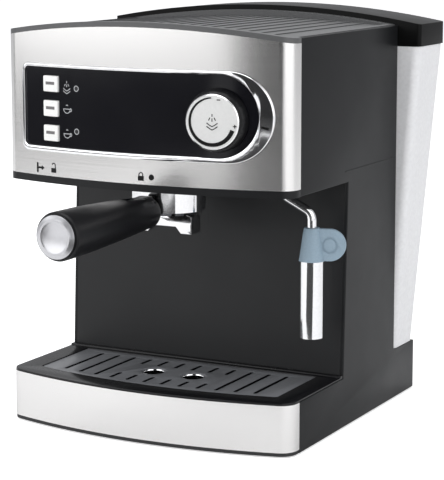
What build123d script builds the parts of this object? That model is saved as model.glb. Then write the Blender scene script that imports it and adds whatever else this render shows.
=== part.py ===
from build123d import *

import math
import os

# Pump espresso machine. Millimetres, +Z up, front towards -Y.
# Origin: floor level, midway across the width and midway between handle tip and tank lid.

# ---- Overall sizes ----
body_width = 220.0
group_to_rear = 190.0  # coffee group axis to the back of the tank lid
group_to_handle_tip = 145.0
group_to_front = 49.0  # coffee group axis to the foremost point of the bowed front
bow_depth = 16.5  # how far the front bows out over the body width
corner_radius = 12.0
steel_wrap = 12.0  # how far each steel skin runs back along the sides
crown_radius = 700.0  # arch of the top, across the width
lid_width = 254.0

# ---- Heights ----
foot_drop = 1.0
bottom_plate_thickness = 2.5
bottom_plate_inset = 0.3
base_steel_top = 35.4
base_housing_below_steel = 0.9
deck_top = 37.0
head_bottom = 172.6
steel_bottom = 177.6
steel_top_middle = 281.3
rim_top_middle = 284.8
lid_bottom = 261.0
lid_top_middle = 288.5
side_panel_top = 276.0

# ---- Walls and clearances ----
wall = 2.5
steel_sheet = 0.8
fit_gap = 0.1  # between pieces fixed to each other
free_gap = 0.4  # between pieces that move past each other
turn_gap = 0.05  # radial running clearance of a shaft

# ---- Base moulding ----
boss_radius = 5.0
shelf_rim = 10.0

# ---- Cup bay and column ----
group_to_bay_back = 56.0
bay_back_lean = 6.0  # the bay's back wall stands this much further forward at its foot
group_to_tank = 142.0
base_depth_under_tank = 38.1

# ---- Drip tray and grille ----
frame_width = 17.0
frame_edge = 0.3
frame_seat_gap = 0.2
grille_rear_margin = 7.5
grille_thickness = 2.4
grille_below_frame = 0.5
tray_depth = 27.0
tray_wall = 1.6
slot_pitch = 13.6
slot_width = 2.8
slot_count = 12
slot_rear_margin = 8.0
slot_front_margin = 7.0
short_slot_length = 15.0
pour_hole_radius = 8.2
pour_hole_chamfer = 1.2
pour_hole_land = 1.0
pour_hole_spacing = 31.4
tray_lift_gap = 1.2

# ---- Control panel ----
panel_left = -90.4
panel_low = 198.2
panel_high = 252.3
panel_end_x = 62.0  # centre of the panel's round right end
bezel_left = -93.0
bezel_low = 194.5
bezel_high = 254.6
bezel_end_x = 69.0
bezel_proud = 2.2
panel_proud = 0.6
panel_corner = 3.5
knob_x = 62.0
knob_z = 222.8
knob_radius = 20.8
knob_depth = 11.0
knob_face_radius = 18.0
knob_face_depth = 1.4
spindle_radius = 3.0
button_x = -66.0
button_width = 13.1
button_height = 10.9
button_mid_z = 224.3
button_pitch = 16.8
button_proud = 2.2
button_travel = 1.8
lamp_x = -44.3
lamp_radius = 1.7

# ---- Coffee group and filter holder ----
bowl_radius = 25.5
bowl_bottom = 152.5
bowl_top = 180.5
bowl_wall = 2.4
lug_reach = 4.3
lug_height = 4.0
lug_low = 176.0
lug_angle = 44.0
insert_angle = 50.0
ring_outer = 37.0
ring_low = 171.5
ring_high = 186.0
gasket_height = 3.0
basket_wall = 0.8
basket_floor = 158.0
basket_rim = 0.8
handle_axis_z = 156.0
handle_end_radius = 15.75
handle_neck_radius = 11.0
handle_bowl_gap = 3.0  # from the bowl to the handle's inner end
end_cap_depth = 3.0
arm_radius = 4.0
arm_z = 156.8
arm_length = 60.0
clip_width = 8.0
clip_pin_bowl_gap = 8.5  # from the bowl to the clip's pin
clip_pin_z = 163.8
clip_pin_radius = 1.2
clip_reach = 28.0
spout_span = 42.0
spout_low = 138.6
spout_width = 13.0

# ---- Steam wand ----
wand_x = 77.7
wand_y = -2.7
wand_reach = 20.0
wand_angle = 15.0
wand_radius = 3.15
wand_knee_z = 166.4
wand_slope = 31.0
wand_bend = 8.0
wand_tip_z = 84.0
sleeve_radius = 8.0
sleeve_wall = 1.1
sleeve_low = 69.0
grip_low = 122.0
grip_high = 144.6
grip_top_radius = 5.3
grip_low_radius = 8.8
tab_reach = 23.4
tab_thickness = 4.0
bush_radius = 9.0

# ---- Water tank ----
tank_wall = 2.0
tank_floor = 2.5
tank_corner = 6.0
outlet_x = -45.0
spigot_radius = 5.9
seal_radius = 8.8

# ---- Boiler, valve, pump ----
boiler_flange_radius = 38.0
boiler_flange = 6.0
boiler_joint_z = 206.0
boiler_top = 232.0
boiler_shell_radius = 31.0
boiler_screw_radius = 34.5
valve_size = 20.0
valve_front = 14.0  # behind the outside of the front
valve_depth = 24.0
pipe_radius = 3.0
hose_radius = 4.5
hose_bore = 2.5
pump_x = -45.0
pump_y = 78.0
pump_low = 70.0
pump_coil_height = 46.0
gland_x = 70.0
gland_z = 20.0
gland_bore = 3.6

# ---- Places worked out from the sizes above ----
half_width = body_width / 2
half_lid = lid_width / 2
group_y = (group_to_handle_tip - group_to_rear) / 2
front_y = group_y - group_to_front
bow_radius = (half_width**2 + bow_depth**2) / (2 * bow_depth)
bow_centre_y = front_y + bow_radius
wrap_end_y = front_y + bow_depth + steel_wrap
bay_top_y = group_y + group_to_bay_back
bay_foot_y = bay_top_y - bay_back_lean
tank_front_y = group_y + group_to_tank
base_rear_y = tank_front_y + base_depth_under_tank
rear_y = group_y + group_to_rear
housing_low = foot_drop + bottom_plate_thickness
inner_half = half_width - wall - fit_gap
base_housing_top = base_steel_top - base_housing_below_steel
grille_rear_y = bay_foot_y - grille_rear_margin
grille_top = deck_top - grille_below_frame
handle_start = bowl_radius + handle_bowl_gap
clip_pin_out = bowl_radius + clip_pin_bowl_gap
outlet_y = tank_front_y + base_depth_under_tank / 2
group_point = (0, group_y)


# ---- Shape helpers ----
def block(x, y, z):
    """A block from its (low, high) limits on each axis."""
    limits = (x, y, z)
    size = [high - low for low, high in limits]
    middle = [(high + low) / 2 for low, high in limits]
    return Pos(*middle) * Box(*size)


def rod(radius, start, direction, length):
    """A round bar from start along direction."""
    bar = Cylinder(radius, length, align=(Align.CENTER, Align.CENTER, Align.MIN))
    return Plane(origin=start, z_dir=direction) * bar


def pillar(radius, centre, low, high):
    """An upright round bar."""
    return rod(radius, (centre[0], centre[1], low), (0, 0, 1), high - low)


def ring(outer, inner, centre, low, high):
    """An upright tube."""
    return pillar(outer, centre, low, high) - pillar(inner, centre, low, high)


def along_x(face, low, high):
    """Extrudes an outline drawn as (y, z) from x = low to x = high."""
    return extrude(Plane.YZ.offset(low) * face, high - low)


def along_y(face, low, high):
    """Extrudes an outline drawn as (x, z) from y = low to y = high."""
    return extrude(Plane.XZ.offset(-high) * face, high - low)


def along_z(face, low, high):
    """Extrudes an outline drawn as (x, y) from z = low to z = high."""
    return extrude(Pos(0, 0, low) * face, high - low)


def polygon(*points):
    """A flat face with straight sides."""
    return make_face(Polyline(*points, close=True).edges())


def lathe(profile, start, direction):
    """Turns a (radius, height) outline about the line from start along direction."""
    outline = Polyline(*[(radius, 0, height) for radius, height in profile], close=True)
    turned = revolve(make_face(outline.edges()), Axis.Z)
    return Plane(origin=start, z_dir=direction) * turned


def bow_y(x, inset=0.0):
    """Y of the bowed front at x, moved inwards by inset."""
    return bow_centre_y - math.sqrt((bow_radius - inset) ** 2 - x**2)


def plan(inset, rear):
    """Outline of the body seen from above, moved inwards by inset, with its back edge at rear."""
    half = half_width - inset
    corner_y = bow_y(half, inset)
    sides = Polyline((-half, corner_y), (-half, rear), (half, rear), (half, corner_y))
    bow = ThreePointArc((half, corner_y), (0, front_y + inset), (-half, corner_y))
    face = make_face(sides.edges() + bow.edges())
    front_corners = face.vertices().sort_by(Axis.Y)[:2]
    return fillet(front_corners, max(corner_radius - inset, 2.0))


def front_skin(outer, inner, low, high):
    """A sheet that follows the bowed front and wraps onto both sides."""
    outline = plan(outer, wrap_end_y) - plan(inner, wrap_end_y + wall)
    return along_z(outline, low, high)


def crowned(half, y_limits, low, top_middle, radius=crown_radius):
    """A block with its top arched across the width."""
    edge = top_middle - radius + math.sqrt(radius**2 - half**2)
    sides = Polyline((half, edge), (half, low), (-half, low), (-half, edge))
    arch = ThreePointArc((-half, edge), (0, top_middle), (half, edge))
    return along_y(make_face(sides.edges() + arch.edges()), *y_limits)


def front_plane(x, z):
    """Plane on the bowed front at x, z: its Z points out, its X to the right, its Y up."""
    across = x / bow_radius
    outward = math.sqrt(1 - across**2)
    return Plane(origin=(x, bow_y(x), z), x_dir=(outward, across, 0), z_dir=(across, -outward, 0))


def local_block(plane, width, height, low, high):
    """A block centred on a front plane, from low to high along its outward direction."""
    return plane * Pos(0, 0, (low + high) / 2) * Box(width, height, high - low)


def local_rod(plane, radius, low, high):
    """A round bar along a front plane's outward direction."""
    align = (Align.CENTER, Align.CENTER, Align.MIN)
    return plane * Pos(0, 0, low) * Cylinder(radius, high - low, align=align)


def pipe(points, radii, outer, bore=0.0):
    """A pipe or hose through the points, with an arc of the given radius at each corner."""
    path = FilletPolyline(*points, radius=radii)
    start = Plane(origin=path @ 0, z_dir=path % 0)
    solid = sweep(start * Circle(outer), path=path)
    if bore:
        solid -= sweep(start * Circle(bore), path=path)
    return solid


def round_ended(left, low, high, end_x, corner):
    """Control panel outline as (x, z): small left corners and a half-round right end."""
    middle = (low + high) / 2
    radius = (high - low) / 2
    sides = Polyline((end_x, high), (left, high), (left, low), (end_x, low))
    end = ThreePointArc((end_x, low), (end_x + radius, middle), (end_x, high))
    face = make_face(sides.edges() + end.edges())
    left_corners = face.vertices().sort_by(Axis.X)[:2]
    return fillet(left_corners, corner)


# ---- Base ----
def make_bottom_plate():
    outline = plan(bottom_plate_inset, wrap_end_y - fit_gap)
    outline += rectangle_face(inner_half, wrap_end_y - 1, base_rear_y - bottom_plate_inset)
    plate = along_z(outline, foot_drop, housing_low)
    for x, y in foot_places():
        plate -= pillar(3.0, (x, y), foot_drop, housing_low)
    for x, y in screw_places():
        plate -= pillar(2.1, (x, y), foot_drop, housing_low)
        plate -= pillar(4.2, (x, y), foot_drop, foot_drop + 1.5)
    for row in range(5):
        y = tank_front_y - 60.0 + row * 9.0
        plate -= block((-30, 30), (y, y + 3), (foot_drop, housing_low))
    return plate


def foot_places():
    inset = 25.0
    front, rear = wrap_end_y, base_rear_y - inset
    return [(side * (half_width - inset), y) for side in (-1, 1) for y in (front, rear)]


def screw_places():
    inset = wall + fit_gap + wall + boss_radius - 0.6
    rows = (wrap_end_y + 30.0, bay_foot_y + 20.0, base_rear_y - inset)
    return [(side * (half_width - inset), y) for side in (-1, 1) for y in rows]


def make_rubber_feet():
    feet = []
    for x, y in foot_places():
        pad = pillar(10.0, (x, y), 0, foot_drop)
        stem = pillar(2.95, (x, y), foot_drop, housing_low)
        feet.append(pad + stem)
    return Compound(feet)


def make_bottom_screws():
    screws = []
    for x, y in screw_places():
        head = pillar(4.0, (x, y), foot_drop + 0.1, foot_drop + 1.5)
        drive = block((x - 2.5, x + 2.5), (y - 0.5, y + 0.5), (foot_drop, foot_drop + 0.7))
        drive += block((x - 0.5, x + 0.5), (y - 2.5, y + 2.5), (foot_drop, foot_drop + 0.7))
        shank = pillar(1.9, (x, y), foot_drop + 1.5, housing_low + 9.0)
        screws.append(head - drive + shank)
    return Compound(screws)


def make_base_housing():
    back = steel_sheet + fit_gap
    outer = plan(back, wrap_end_y - fit_gap)
    outer += plan(wall + fit_gap, base_rear_y) & rectangle_face(inner_half, wrap_end_y - 1, base_rear_y)
    top = base_housing_top
    tub = along_z(outer, housing_low, top)
    well = plan(back + wall, bay_foot_y)
    well &= rectangle_face(inner_half - wall, front_y, bay_foot_y)
    tub -= along_z(well, housing_low + wall, top)
    inner_x = (-inner_half + wall, inner_half - wall)
    tub -= block(inner_x, (bay_foot_y + wall, base_rear_y - wall), (housing_low, top))
    for x, y in screw_places():
        boss = pillar(boss_radius, (x, y), housing_low, housing_low + 14)
        tub += boss
        tub -= pillar(1.95, (x, y), housing_low, housing_low + 10)
    tub -= rod(6.5 + fit_gap, (gland_x, base_rear_y - wall, gland_z), (0, 1, 0), wall)
    return tub


def make_tank_shelf():
    """The plate on the rear of the base that the water tank stands on."""
    low, high = base_housing_top, deck_top - 0.1
    shelf = block((-inner_half, inner_half), (bay_foot_y, base_rear_y), (low, high))
    shelf -= block(
        (-inner_half + shelf_rim, inner_half - shelf_rim),
        (bay_top_y + shelf_rim, tank_front_y - 15),
        (low, high),
    )
    return shelf - pillar(seal_radius + fit_gap, (outlet_x, outlet_y), low, high)


def rectangle_face(half, low, high):
    """A rectangle seen from above, centred across the width."""
    return polygon((-half, low), (half, low), (half, high), (-half, high))


def make_base_steel_band():
    return front_skin(0, steel_sheet, housing_low, base_steel_top)


def make_side_panel(side):
    """One moulded C-shaped side: base, column and head in a single plate."""
    low = foot_drop
    outline = polygon(
        (wrap_end_y, low),
        (base_rear_y, low),
        (base_rear_y, deck_top),
        (tank_front_y, deck_top),
        (tank_front_y, side_panel_top),
        (wrap_end_y, side_panel_top),
        (wrap_end_y, head_bottom),
        (bay_top_y, head_bottom),
        (bay_foot_y, deck_top),
        (bay_foot_y, base_steel_top),
        (wrap_end_y, base_steel_top),
    )
    low_x = half_width - wall if side > 0 else -half_width
    panel = along_x(outline, low_x, low_x + wall)
    outer_x = side * half_width
    edges = panel.edges().filter_by(lambda e: abs(e.center().X - outer_x) < 0.01)
    soft = edges.filter_by(lambda e: e.center().Y > wrap_end_y + 1 and e.center().Z > deck_top + 1)
    return fillet(soft, 1.0)


def make_bay_back_panel():
    slope = bay_back_lean / (head_bottom - deck_top)
    top = steel_bottom + 3.0
    top_y = bay_foot_y + slope * (top - deck_top)
    outline = polygon(
        (bay_foot_y, deck_top),
        (bay_foot_y + wall, deck_top),
        (top_y + wall, top),
        (top_y, top),
    )
    return along_x(outline, -inner_half, inner_half)


def make_rear_panel():
    y_limits = (tank_front_y - wall, tank_front_y)
    return crowned(inner_half, y_limits, deck_top, steel_top_middle - fit_gap)


def make_mains_gland():
    start = (gland_x, base_rear_y - wall - 3.0, gland_z)
    body = rod(6.5, start, (0, 1, 0), wall + 3.0)
    flange = rod(9.0, (gland_x, base_rear_y, gland_z), (0, 1, 0), 2.5)
    nose = rod(6.0, (gland_x, base_rear_y + 2.5, gland_z), (0, 1, 0), 3.5)
    nut = rod(9.5, (gland_x, base_rear_y - wall - 3.0, gland_z), (0, 1, 0), 3.0)
    whole = body + flange + nose + nut
    return whole - rod(gland_bore, (gland_x, base_rear_y - wall - 3.0, gland_z), (0, 1, 0), 20)


# ---- Drip tray ----
def make_drip_tray():
    """One moulding: the wide black frame, the grille's ledge and the basin hanging under it."""
    rear = bay_foot_y - free_gap
    frame_low = base_steel_top + frame_seat_gap
    reach = frame_width + tray_lift_gap
    reach_rear = grille_rear_y - tray_lift_gap
    ledge_top = grille_top - grille_thickness
    ledge_low = ledge_top - tray_wall
    floor_z = deck_top - tray_depth
    frame = along_z(plan(frame_edge, rear), frame_low, deck_top)
    step_half = half_width - frame_edge
    frame += block((-step_half, step_half), (rear - 4.0, rear), (deck_top, deck_top + 1.2))
    collar = plan(frame_width - tray_wall, grille_rear_y + tray_wall)
    body = frame + along_z(collar, ledge_low, deck_top)
    body -= along_z(plan(frame_width, grille_rear_y), ledge_top, deck_top)
    body += along_z(plan(reach - tray_wall, reach_rear + tray_wall), floor_z, ledge_top)
    return body - along_z(plan(reach, reach_rear), floor_z + tray_wall, ledge_top)


def make_drip_grille():
    low = grille_top - grille_thickness
    plate = along_z(plan(frame_width + free_gap, grille_rear_y - free_gap), low, grille_top)
    rear = grille_rear_y - slot_rear_margin
    middle_slots = 3
    for index in range(slot_count):
        offset = index - (slot_count - 1) / 2
        x = offset * slot_pitch
        front = bow_y(x, frame_width) + slot_front_margin
        spans = [(front, rear)]
        if abs(offset) < middle_slots:
            spans = [(front, front + short_slot_length), (rear - short_slot_length, rear)]
        for start, end in spans:
            plate -= upright_slot(x, start, end, low)
    for x in (-pour_hole_spacing / 2, pour_hole_spacing / 2):
        hole = (x, group_y + 5.5)
        plate -= pillar(pour_hole_radius, hole, low, grille_top)
        plate -= lathe(
            [
                (0, grille_thickness),
                (pour_hole_radius + pour_hole_chamfer, grille_thickness),
                (pour_hole_radius, pour_hole_land),
                (0, pour_hole_land),
            ],
            (hole[0], hole[1], low),
            (0, 0, 1),
        )
    return plate


def upright_slot(x, start, end, low):
    """A round-ended slot through the grille."""
    half = slot_width / 2
    slot = block((x - half, x + half), (start + half, end - half), (low, grille_top))
    slot += pillar(half, (x, start + half), low, grille_top)
    return slot + pillar(half, (x, end - half), low, grille_top)


# ---- Head ----
def make_head_underside():
    front = plan(0, wrap_end_y - fit_gap)
    back = rectangle_face(inner_half, wrap_end_y - 1, bay_top_y - fit_gap)
    cover = along_z(front + back, head_bottom, steel_bottom)
    inside = plan(steel_sheet + fit_gap + wall, bay_top_y - fit_gap)
    inside &= rectangle_face(inner_half - wall, front_y, bay_top_y - fit_gap - wall)
    cover -= along_z(inside, head_bottom + wall, steel_bottom)
    cover -= pillar(ring_outer + fit_gap, group_point, head_bottom, steel_bottom)
    cover -= pillar(bush_radius, (wand_x, wand_y), head_bottom, steel_bottom)
    return cover


def panel_outline(grow=0.0):
    return round_ended(
        panel_left - grow, panel_low - grow, panel_high + grow, panel_end_x, panel_corner + grow
    )


def bezel_outline(grow=0.0):
    return round_ended(
        bezel_left - grow, bezel_low - grow, bezel_high + grow, bezel_end_x, panel_corner + 2 + grow
    )


def front_cut(outline):
    """An outline seen from the front, made deep enough to cut through the front wall."""
    return along_y(outline, front_y - 20, wrap_end_y)


def button_planes():
    return [front_plane(button_x, button_mid_z + step * button_pitch) for step in (1, 0, -1)]


def lamp_planes():
    drop = 2.3
    return [front_plane(lamp_x, button_mid_z + step * button_pitch - drop * step) for step in (1, -1)]


def make_head_steel_fascia():
    skin = front_skin(0, steel_sheet, steel_bottom, steel_top_middle)
    skin &= crowned(half_width, (front_y, wrap_end_y), steel_bottom, steel_top_middle)
    return skin - front_cut(bezel_outline(fit_gap))


def make_fascia_carrier():
    back = steel_sheet + fit_gap
    skin = front_skin(back, back + wall, steel_bottom, steel_top_middle)
    skin &= crowned(half_width, (front_y, wrap_end_y), steel_bottom, steel_top_middle - fit_gap)
    for plane in button_planes():
        skin -= local_block(plane, button_width + 2 * free_gap, button_height + 2 * free_gap, -8, 4)
    for plane in lamp_planes():
        skin -= local_rod(plane, lamp_radius, -8, 4)
    return skin - local_rod(front_plane(knob_x, knob_z), spindle_radius + free_gap, -8, 4)


def make_control_panel():
    skin = front_skin(-panel_proud, steel_sheet + fit_gap, panel_low - 5, panel_high + 5)
    panel = skin & front_cut(panel_outline())
    for plane in button_planes():
        panel -= local_block(plane, button_width + 2 * free_gap, button_height + 2 * free_gap, -8, 4)
    for plane in lamp_planes():
        panel -= local_rod(plane, lamp_radius, -8, 4)
    return panel - local_rod(front_plane(knob_x, knob_z), spindle_radius + free_gap, -8, 4)


def make_panel_bezel():
    skin = front_skin(-bezel_proud, steel_sheet + fit_gap, bezel_low - 5, bezel_high + 5)
    return skin & (front_cut(bezel_outline()) - front_cut(panel_outline()))


def make_indicator_lamps():
    back = steel_sheet + fit_gap + wall
    return Compound([local_rod(plane, lamp_radius, -back - 4, panel_proud) for plane in lamp_planes()])


def make_top_deck():
    front = plan(0, wrap_end_y - fit_gap)
    back = rectangle_face(inner_half, wrap_end_y - 1, tank_front_y)
    whole = (front_y, tank_front_y)
    low = side_panel_top - 20
    sheet = along_z(front + back, low, rim_top_middle)
    sheet &= crowned(half_width, whole, low, rim_top_middle)
    sheet -= crowned(half_width + 5, (front_y - 5, tank_front_y + 5), low, steel_top_middle)
    rim = 6.0
    pan_top = rim_top_middle - 4.6
    pan_radius = crown_radius * 1.7
    recess_rear = tank_front_y - wall - rim
    recess = along_z(plan(rim, recess_rear), low, rim_top_middle)
    pan_outer = along_z(plan(rim - wall + fit_gap, recess_rear + wall - fit_gap), low, rim_top_middle)
    pan_outer &= crowned(half_width, whole, low, steel_top_middle + 1)
    around = (half_width + 5, (front_y - 5, tank_front_y + 5))
    pan_outer -= crowned(*around, low - 5, pan_top - wall, pan_radius)
    above_pan = recess - crowned(half_width, whole, low, pan_top, pan_radius)
    deck = sheet + pan_outer - above_pan
    rib_pitch = 11.0
    strips = []
    for index in range(-8, 9):
        x = index * rib_pitch
        strips.append(
            block((x - 0.8, x + 0.8), (bow_y(x, rim) + 3.0, recess_rear - 3.0), (low, rim_top_middle))
        )
    ribs = crowned(half_width, whole, low, pan_top + 0.6, pan_radius)
    ribs -= crowned(*around, low - 5, pan_top - 0.5, pan_radius)
    for strip in strips:
        deck += strip & ribs
    return deck


# ---- Buttons and steam knob ----
def make_button(plane):
    cap = local_block(plane, button_width, button_height, -3.5, button_proud)
    stem = local_block(plane, 5.0, 5.0, -9.0, -3.5)
    return fillet(cap.faces().sort_by(Axis.Y)[0].edges(), 0.8) + stem


def make_push_switches():
    rear = -9.0 - button_travel - free_gap
    return Compound([local_block(plane, 9.0, 9.0, rear - 7.0, rear) for plane in button_planes()])


def make_switch_board():
    rear = -9.0 - button_travel - free_gap - 7.0
    return local_block(button_planes()[1], 34.0, 3 * button_pitch, rear - 1.6, rear)


def make_knob_body():
    low = panel_proud + free_gap
    top = low + knob_depth
    profile = [
        (0, low + 2.0),
        (knob_radius - 3.0, low + 2.0),
        (knob_radius - 3.0, low),
        (knob_radius, low),
        (knob_radius, low + 2.5),
        (knob_radius - 1.5, top - 1.5),
        (knob_radius - 2.5, top),
        (0, top),
    ]
    plane = front_plane(knob_x, knob_z)
    body = lathe(profile, plane.origin, plane.z_dir)
    return body - local_rod(plane, spindle_radius, 0, low + 8.0)


def make_knob_face():
    low = panel_proud + free_gap + knob_depth
    plane = front_plane(knob_x, knob_z)
    profile = [
        (0, low),
        (knob_face_radius, low),
        (knob_face_radius, low + knob_face_depth - 0.5),
        (knob_face_radius - 0.8, low + knob_face_depth),
        (0, low + knob_face_depth),
    ]
    return lathe(profile, plane.origin, plane.z_dir)


def make_steam_spindle():
    plane = front_plane(knob_x, knob_z)
    high = panel_proud + free_gap + 8.0
    return local_rod(plane, spindle_radius, -valve_front - 18.0, high)


def make_steam_valve():
    plane = front_plane(knob_x, knob_z)
    body = local_block(plane, valve_size, valve_size, -valve_front - valve_depth, -valve_front)
    neck = local_rod(plane, 7.0, -valve_front, -steel_sheet - wall - 2 * fit_gap)
    bore = local_rod(plane, spindle_radius + turn_gap, -valve_front - 18.5, 0)
    return body + neck - bore


# ---- Coffee group ----
def make_group_ring():
    body = ring(ring_outer, bowl_radius + 0.7, group_point, ring_low, ring_high)
    groove_radius = bowl_radius + lug_reach + 0.5
    groove = (lug_low - free_gap, lug_low + lug_height + free_gap)
    body -= ring(groove_radius, bowl_radius, group_point, *groove)
    for turn in (90, 270):
        slot = lug_wedge(turn - insert_angle, lug_angle + 4, groove_radius, ring_low, lug_low)
        body -= slot
    return body


def lug_wedge(turn, angle, radius, low, high):
    """A wedge-shaped piece of a disc about the group axis; turn 0 points along +X."""
    far = radius * 2
    first = math.radians(turn - angle / 2)
    last = math.radians(turn + angle / 2)
    corners = [(0, group_y)]
    for angle_now in (first, (first + last) / 2, last):
        corners.append((far * math.cos(angle_now), group_y + far * math.sin(angle_now)))
    wedge = along_z(polygon(*corners), low, high)
    return wedge & pillar(radius, group_point, low, high)


def make_group_gasket():
    low = bowl_top + basket_rim + 0.3
    return ring(bowl_radius + 0.6, bowl_radius - 5.0, group_point, low, low + gasket_height)


def gasket_top():
    return bowl_top + basket_rim + 0.3 + gasket_height


def make_shower_plate():
    low = bowl_top + 0.2
    plate = pillar(bowl_radius - 6.0, group_point, low, low + 1.2)
    for circle, count in ((5.5, 8), (9.5, 14), (13.5, 20), (17.0, 26)):
        for index in range(count):
            angle = 2 * math.pi * index / count
            hole = (circle * math.cos(angle), group_y + circle * math.sin(angle))
            plate -= pillar(0.6, hole, low, low + 1.2)
    return plate - pillar(2.0, group_point, low, low + 1.2)


def make_shower_screw():
    low = bowl_top + 0.2
    return pillar(3.4, group_point, low - 1.6, low) + pillar(1.95, group_point, low, low + 9.0)


def make_boiler_lower():
    low = gasket_top()
    plug = pillar(bowl_radius - 5.0 - fit_gap, group_point, bowl_top + 1.4, low)
    seat = pillar(bowl_radius + 0.6, group_point, low, ring_high)
    flange = pillar(boiler_flange_radius, group_point, ring_high, ring_high + boiler_flange)
    shell = pillar(boiler_shell_radius, group_point, ring_high, boiler_joint_z)
    rim = pillar(boiler_flange_radius, group_point, boiler_joint_z - boiler_flange, boiler_joint_z)
    body = plug + seat + flange + shell + rim
    body -= pillar(boiler_shell_radius - 5, group_point, ring_high + 8, boiler_joint_z)
    body -= pillar(2.0, group_point, bowl_top + 1.4, bowl_top + 12.0)
    for x, y in boiler_screw_places():
        body -= pillar(2.1, (x, y), boiler_joint_z - boiler_flange, boiler_joint_z)
    return body


def boiler_screw_places():
    places = []
    for index in range(6):
        angle = math.radians(30 + 60 * index)
        x = boiler_screw_radius * math.cos(angle)
        places.append((x, group_y + boiler_screw_radius * math.sin(angle)))
    return places


def make_boiler_upper():
    rim = pillar(boiler_flange_radius, group_point, boiler_joint_z, boiler_joint_z + boiler_flange)
    body = rim + pillar(boiler_shell_radius, group_point, boiler_joint_z, boiler_top)
    body -= pillar(boiler_shell_radius - 5, group_point, boiler_joint_z, boiler_top - 5)
    for x, y in boiler_screw_places():
        body -= pillar(2.1, (x, y), boiler_joint_z, boiler_joint_z + boiler_flange)
    body -= pillar(pipe_radius, water_port(), boiler_top - 5, boiler_top)
    return body - rod(pipe_radius, steam_port(), (1, 0, 0), 8.0)


def water_port():
    return (-14.0, group_y + 8.0)


def steam_port():
    return (boiler_shell_radius - 6.0, group_y, knob_z)


def make_boiler_screws():
    screws = []
    for x, y in boiler_screw_places():
        top = boiler_joint_z + boiler_flange
        low = boiler_joint_z - boiler_flange
        shank = pillar(2.0, (x, y), low, top)
        head = pillar(3.4, (x, y), top, top + 3.0) - pillar(1.4, (x, y), top + 1.0, top + 3.0)
        screws.append(shank + head)
    return Compound(screws)


def make_thermostats():
    places = ((8.0, group_y + 18.0), (14.0, group_y - 14.0))
    parts = []
    for place in places:
        disc = pillar(8.0, place, boiler_top, boiler_top + 5.0)
        stub = pillar(5.0, place, boiler_top + 5.0, boiler_top + 9.0)
        parts.append(disc + stub)
    return Compound(parts)


def make_steam_pipe():
    plane = front_plane(knob_x, knob_z)
    end = (plane * Pos(-valve_size / 2, 0, -valve_front - 12.0)).position
    knee = (plane * Pos(-valve_size / 2 - 7.0, 0, -valve_front - 12.0)).position
    x, y, z = steam_port()
    points = [(x + 2.0, y, z), (x + 12.0, y, z), (knee.X, knee.Y, z), (end.X, end.Y, z)]
    return pipe(points, 3.5, pipe_radius - 0.4)


def make_wand_feed_pipe():
    plane = front_plane(knob_x, knob_z)
    exit_point = (plane * Pos(0, -valve_size / 2, -valve_front - 12.0)).position
    top = (exit_point.X, exit_point.Y, exit_point.Z)
    low_z = ring_high + 14.0
    points = [
        top,
        (top[0], top[1], low_z),
        (wand_x, wand_y, low_z),
        (wand_x, wand_y, ring_high + 4.0),
    ]
    return pipe(points, 7.0, pipe_radius - 0.4, 1.4)


# ---- Filter holder ----
def make_filter_bowl():
    axis = (0, group_y, 0)
    inner = bowl_radius - bowl_wall
    profile = [
        (4.0, bowl_bottom),
        (bowl_radius - 2.0, bowl_bottom),
        (bowl_radius, bowl_bottom + 2.0),
        (bowl_radius, bowl_top),
        (inner, bowl_top),
        (inner, bowl_bottom + 4.5),
        (inner - 2.0, bowl_bottom + 3.0),
        (4.0, bowl_bottom + 3.0),
    ]
    bowl = lathe(profile, axis, (0, 0, 1))
    for turn in (90, 270):
        lug = lug_wedge(turn, lug_angle, bowl_radius + lug_reach, lug_low, lug_low + lug_height)
        bowl += lug - pillar(bowl_radius - 1.0, group_point, lug_low, lug_low + lug_height)
    arm_start = (0, group_y - bowl_radius + 1.5, arm_z)
    arm = rod(arm_radius, arm_start, (0, -1, 0), arm_length)
    return bowl + arm


def make_filter_basket():
    axis = (0, group_y, 0)
    outer = bowl_radius - bowl_wall - free_gap
    inner = outer - basket_wall
    top = bowl_top + basket_rim
    profile = [
        (0, basket_floor),
        (outer - 2.0, basket_floor),
        (outer, basket_floor + 2.5),
        (outer, bowl_top),
        (bowl_radius - 0.2, bowl_top),
        (bowl_radius - 0.2, top),
        (inner, top),
        (inner, basket_floor + 2.5 + basket_wall),
        (inner - 2.0, basket_floor + basket_wall),
        (0, basket_floor + basket_wall),
    ]
    basket = lathe(profile, axis, (0, 0, 1))
    for circle, count in ((4.0, 6), (8.0, 12), (12.0, 18), (16.0, 24)):
        for index in range(count):
            angle = 2 * math.pi * index / count
            hole = (circle * math.cos(angle), group_y + circle * math.sin(angle))
            basket -= pillar(0.45, hole, basket_floor, basket_floor + basket_wall)
    return basket


def make_filter_handle():
    start_y = group_y - handle_start
    length = group_to_handle_tip - end_cap_depth - handle_start
    profile = [
        (0, 0),
        (handle_neck_radius - 1.5, 0),
        (handle_neck_radius, 2.0),
        (handle_neck_radius + 0.6, 12.0),
        (handle_neck_radius + 2.6, 45.0),
        (handle_end_radius - 0.4, 85.0),
        (handle_end_radius, length - 6.0),
        (handle_end_radius, length - 1.5),
        (handle_end_radius - 1.0, length),
        (0, length),
    ]
    handle = lathe(profile, (0, start_y, handle_axis_z), (0, -1, 0))
    arm_end = group_y - bowl_radius + 1.5 - arm_length
    handle -= rod(arm_radius, (0, start_y + 1, arm_z), (0, -1, 0), start_y + 1 - arm_end)
    slot_end = group_y - clip_pin_out - clip_reach - 1.5
    half = clip_width / 2 + free_gap
    handle -= block((-half, half), (slot_end, start_y + 1), (clip_pin_z - 2.9, handle_axis_z + 20))
    pin_start = (-handle_neck_radius, group_y - clip_pin_out, clip_pin_z)
    return handle - rod(clip_pin_radius, pin_start, (1, 0, 0), 2 * handle_neck_radius)


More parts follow.
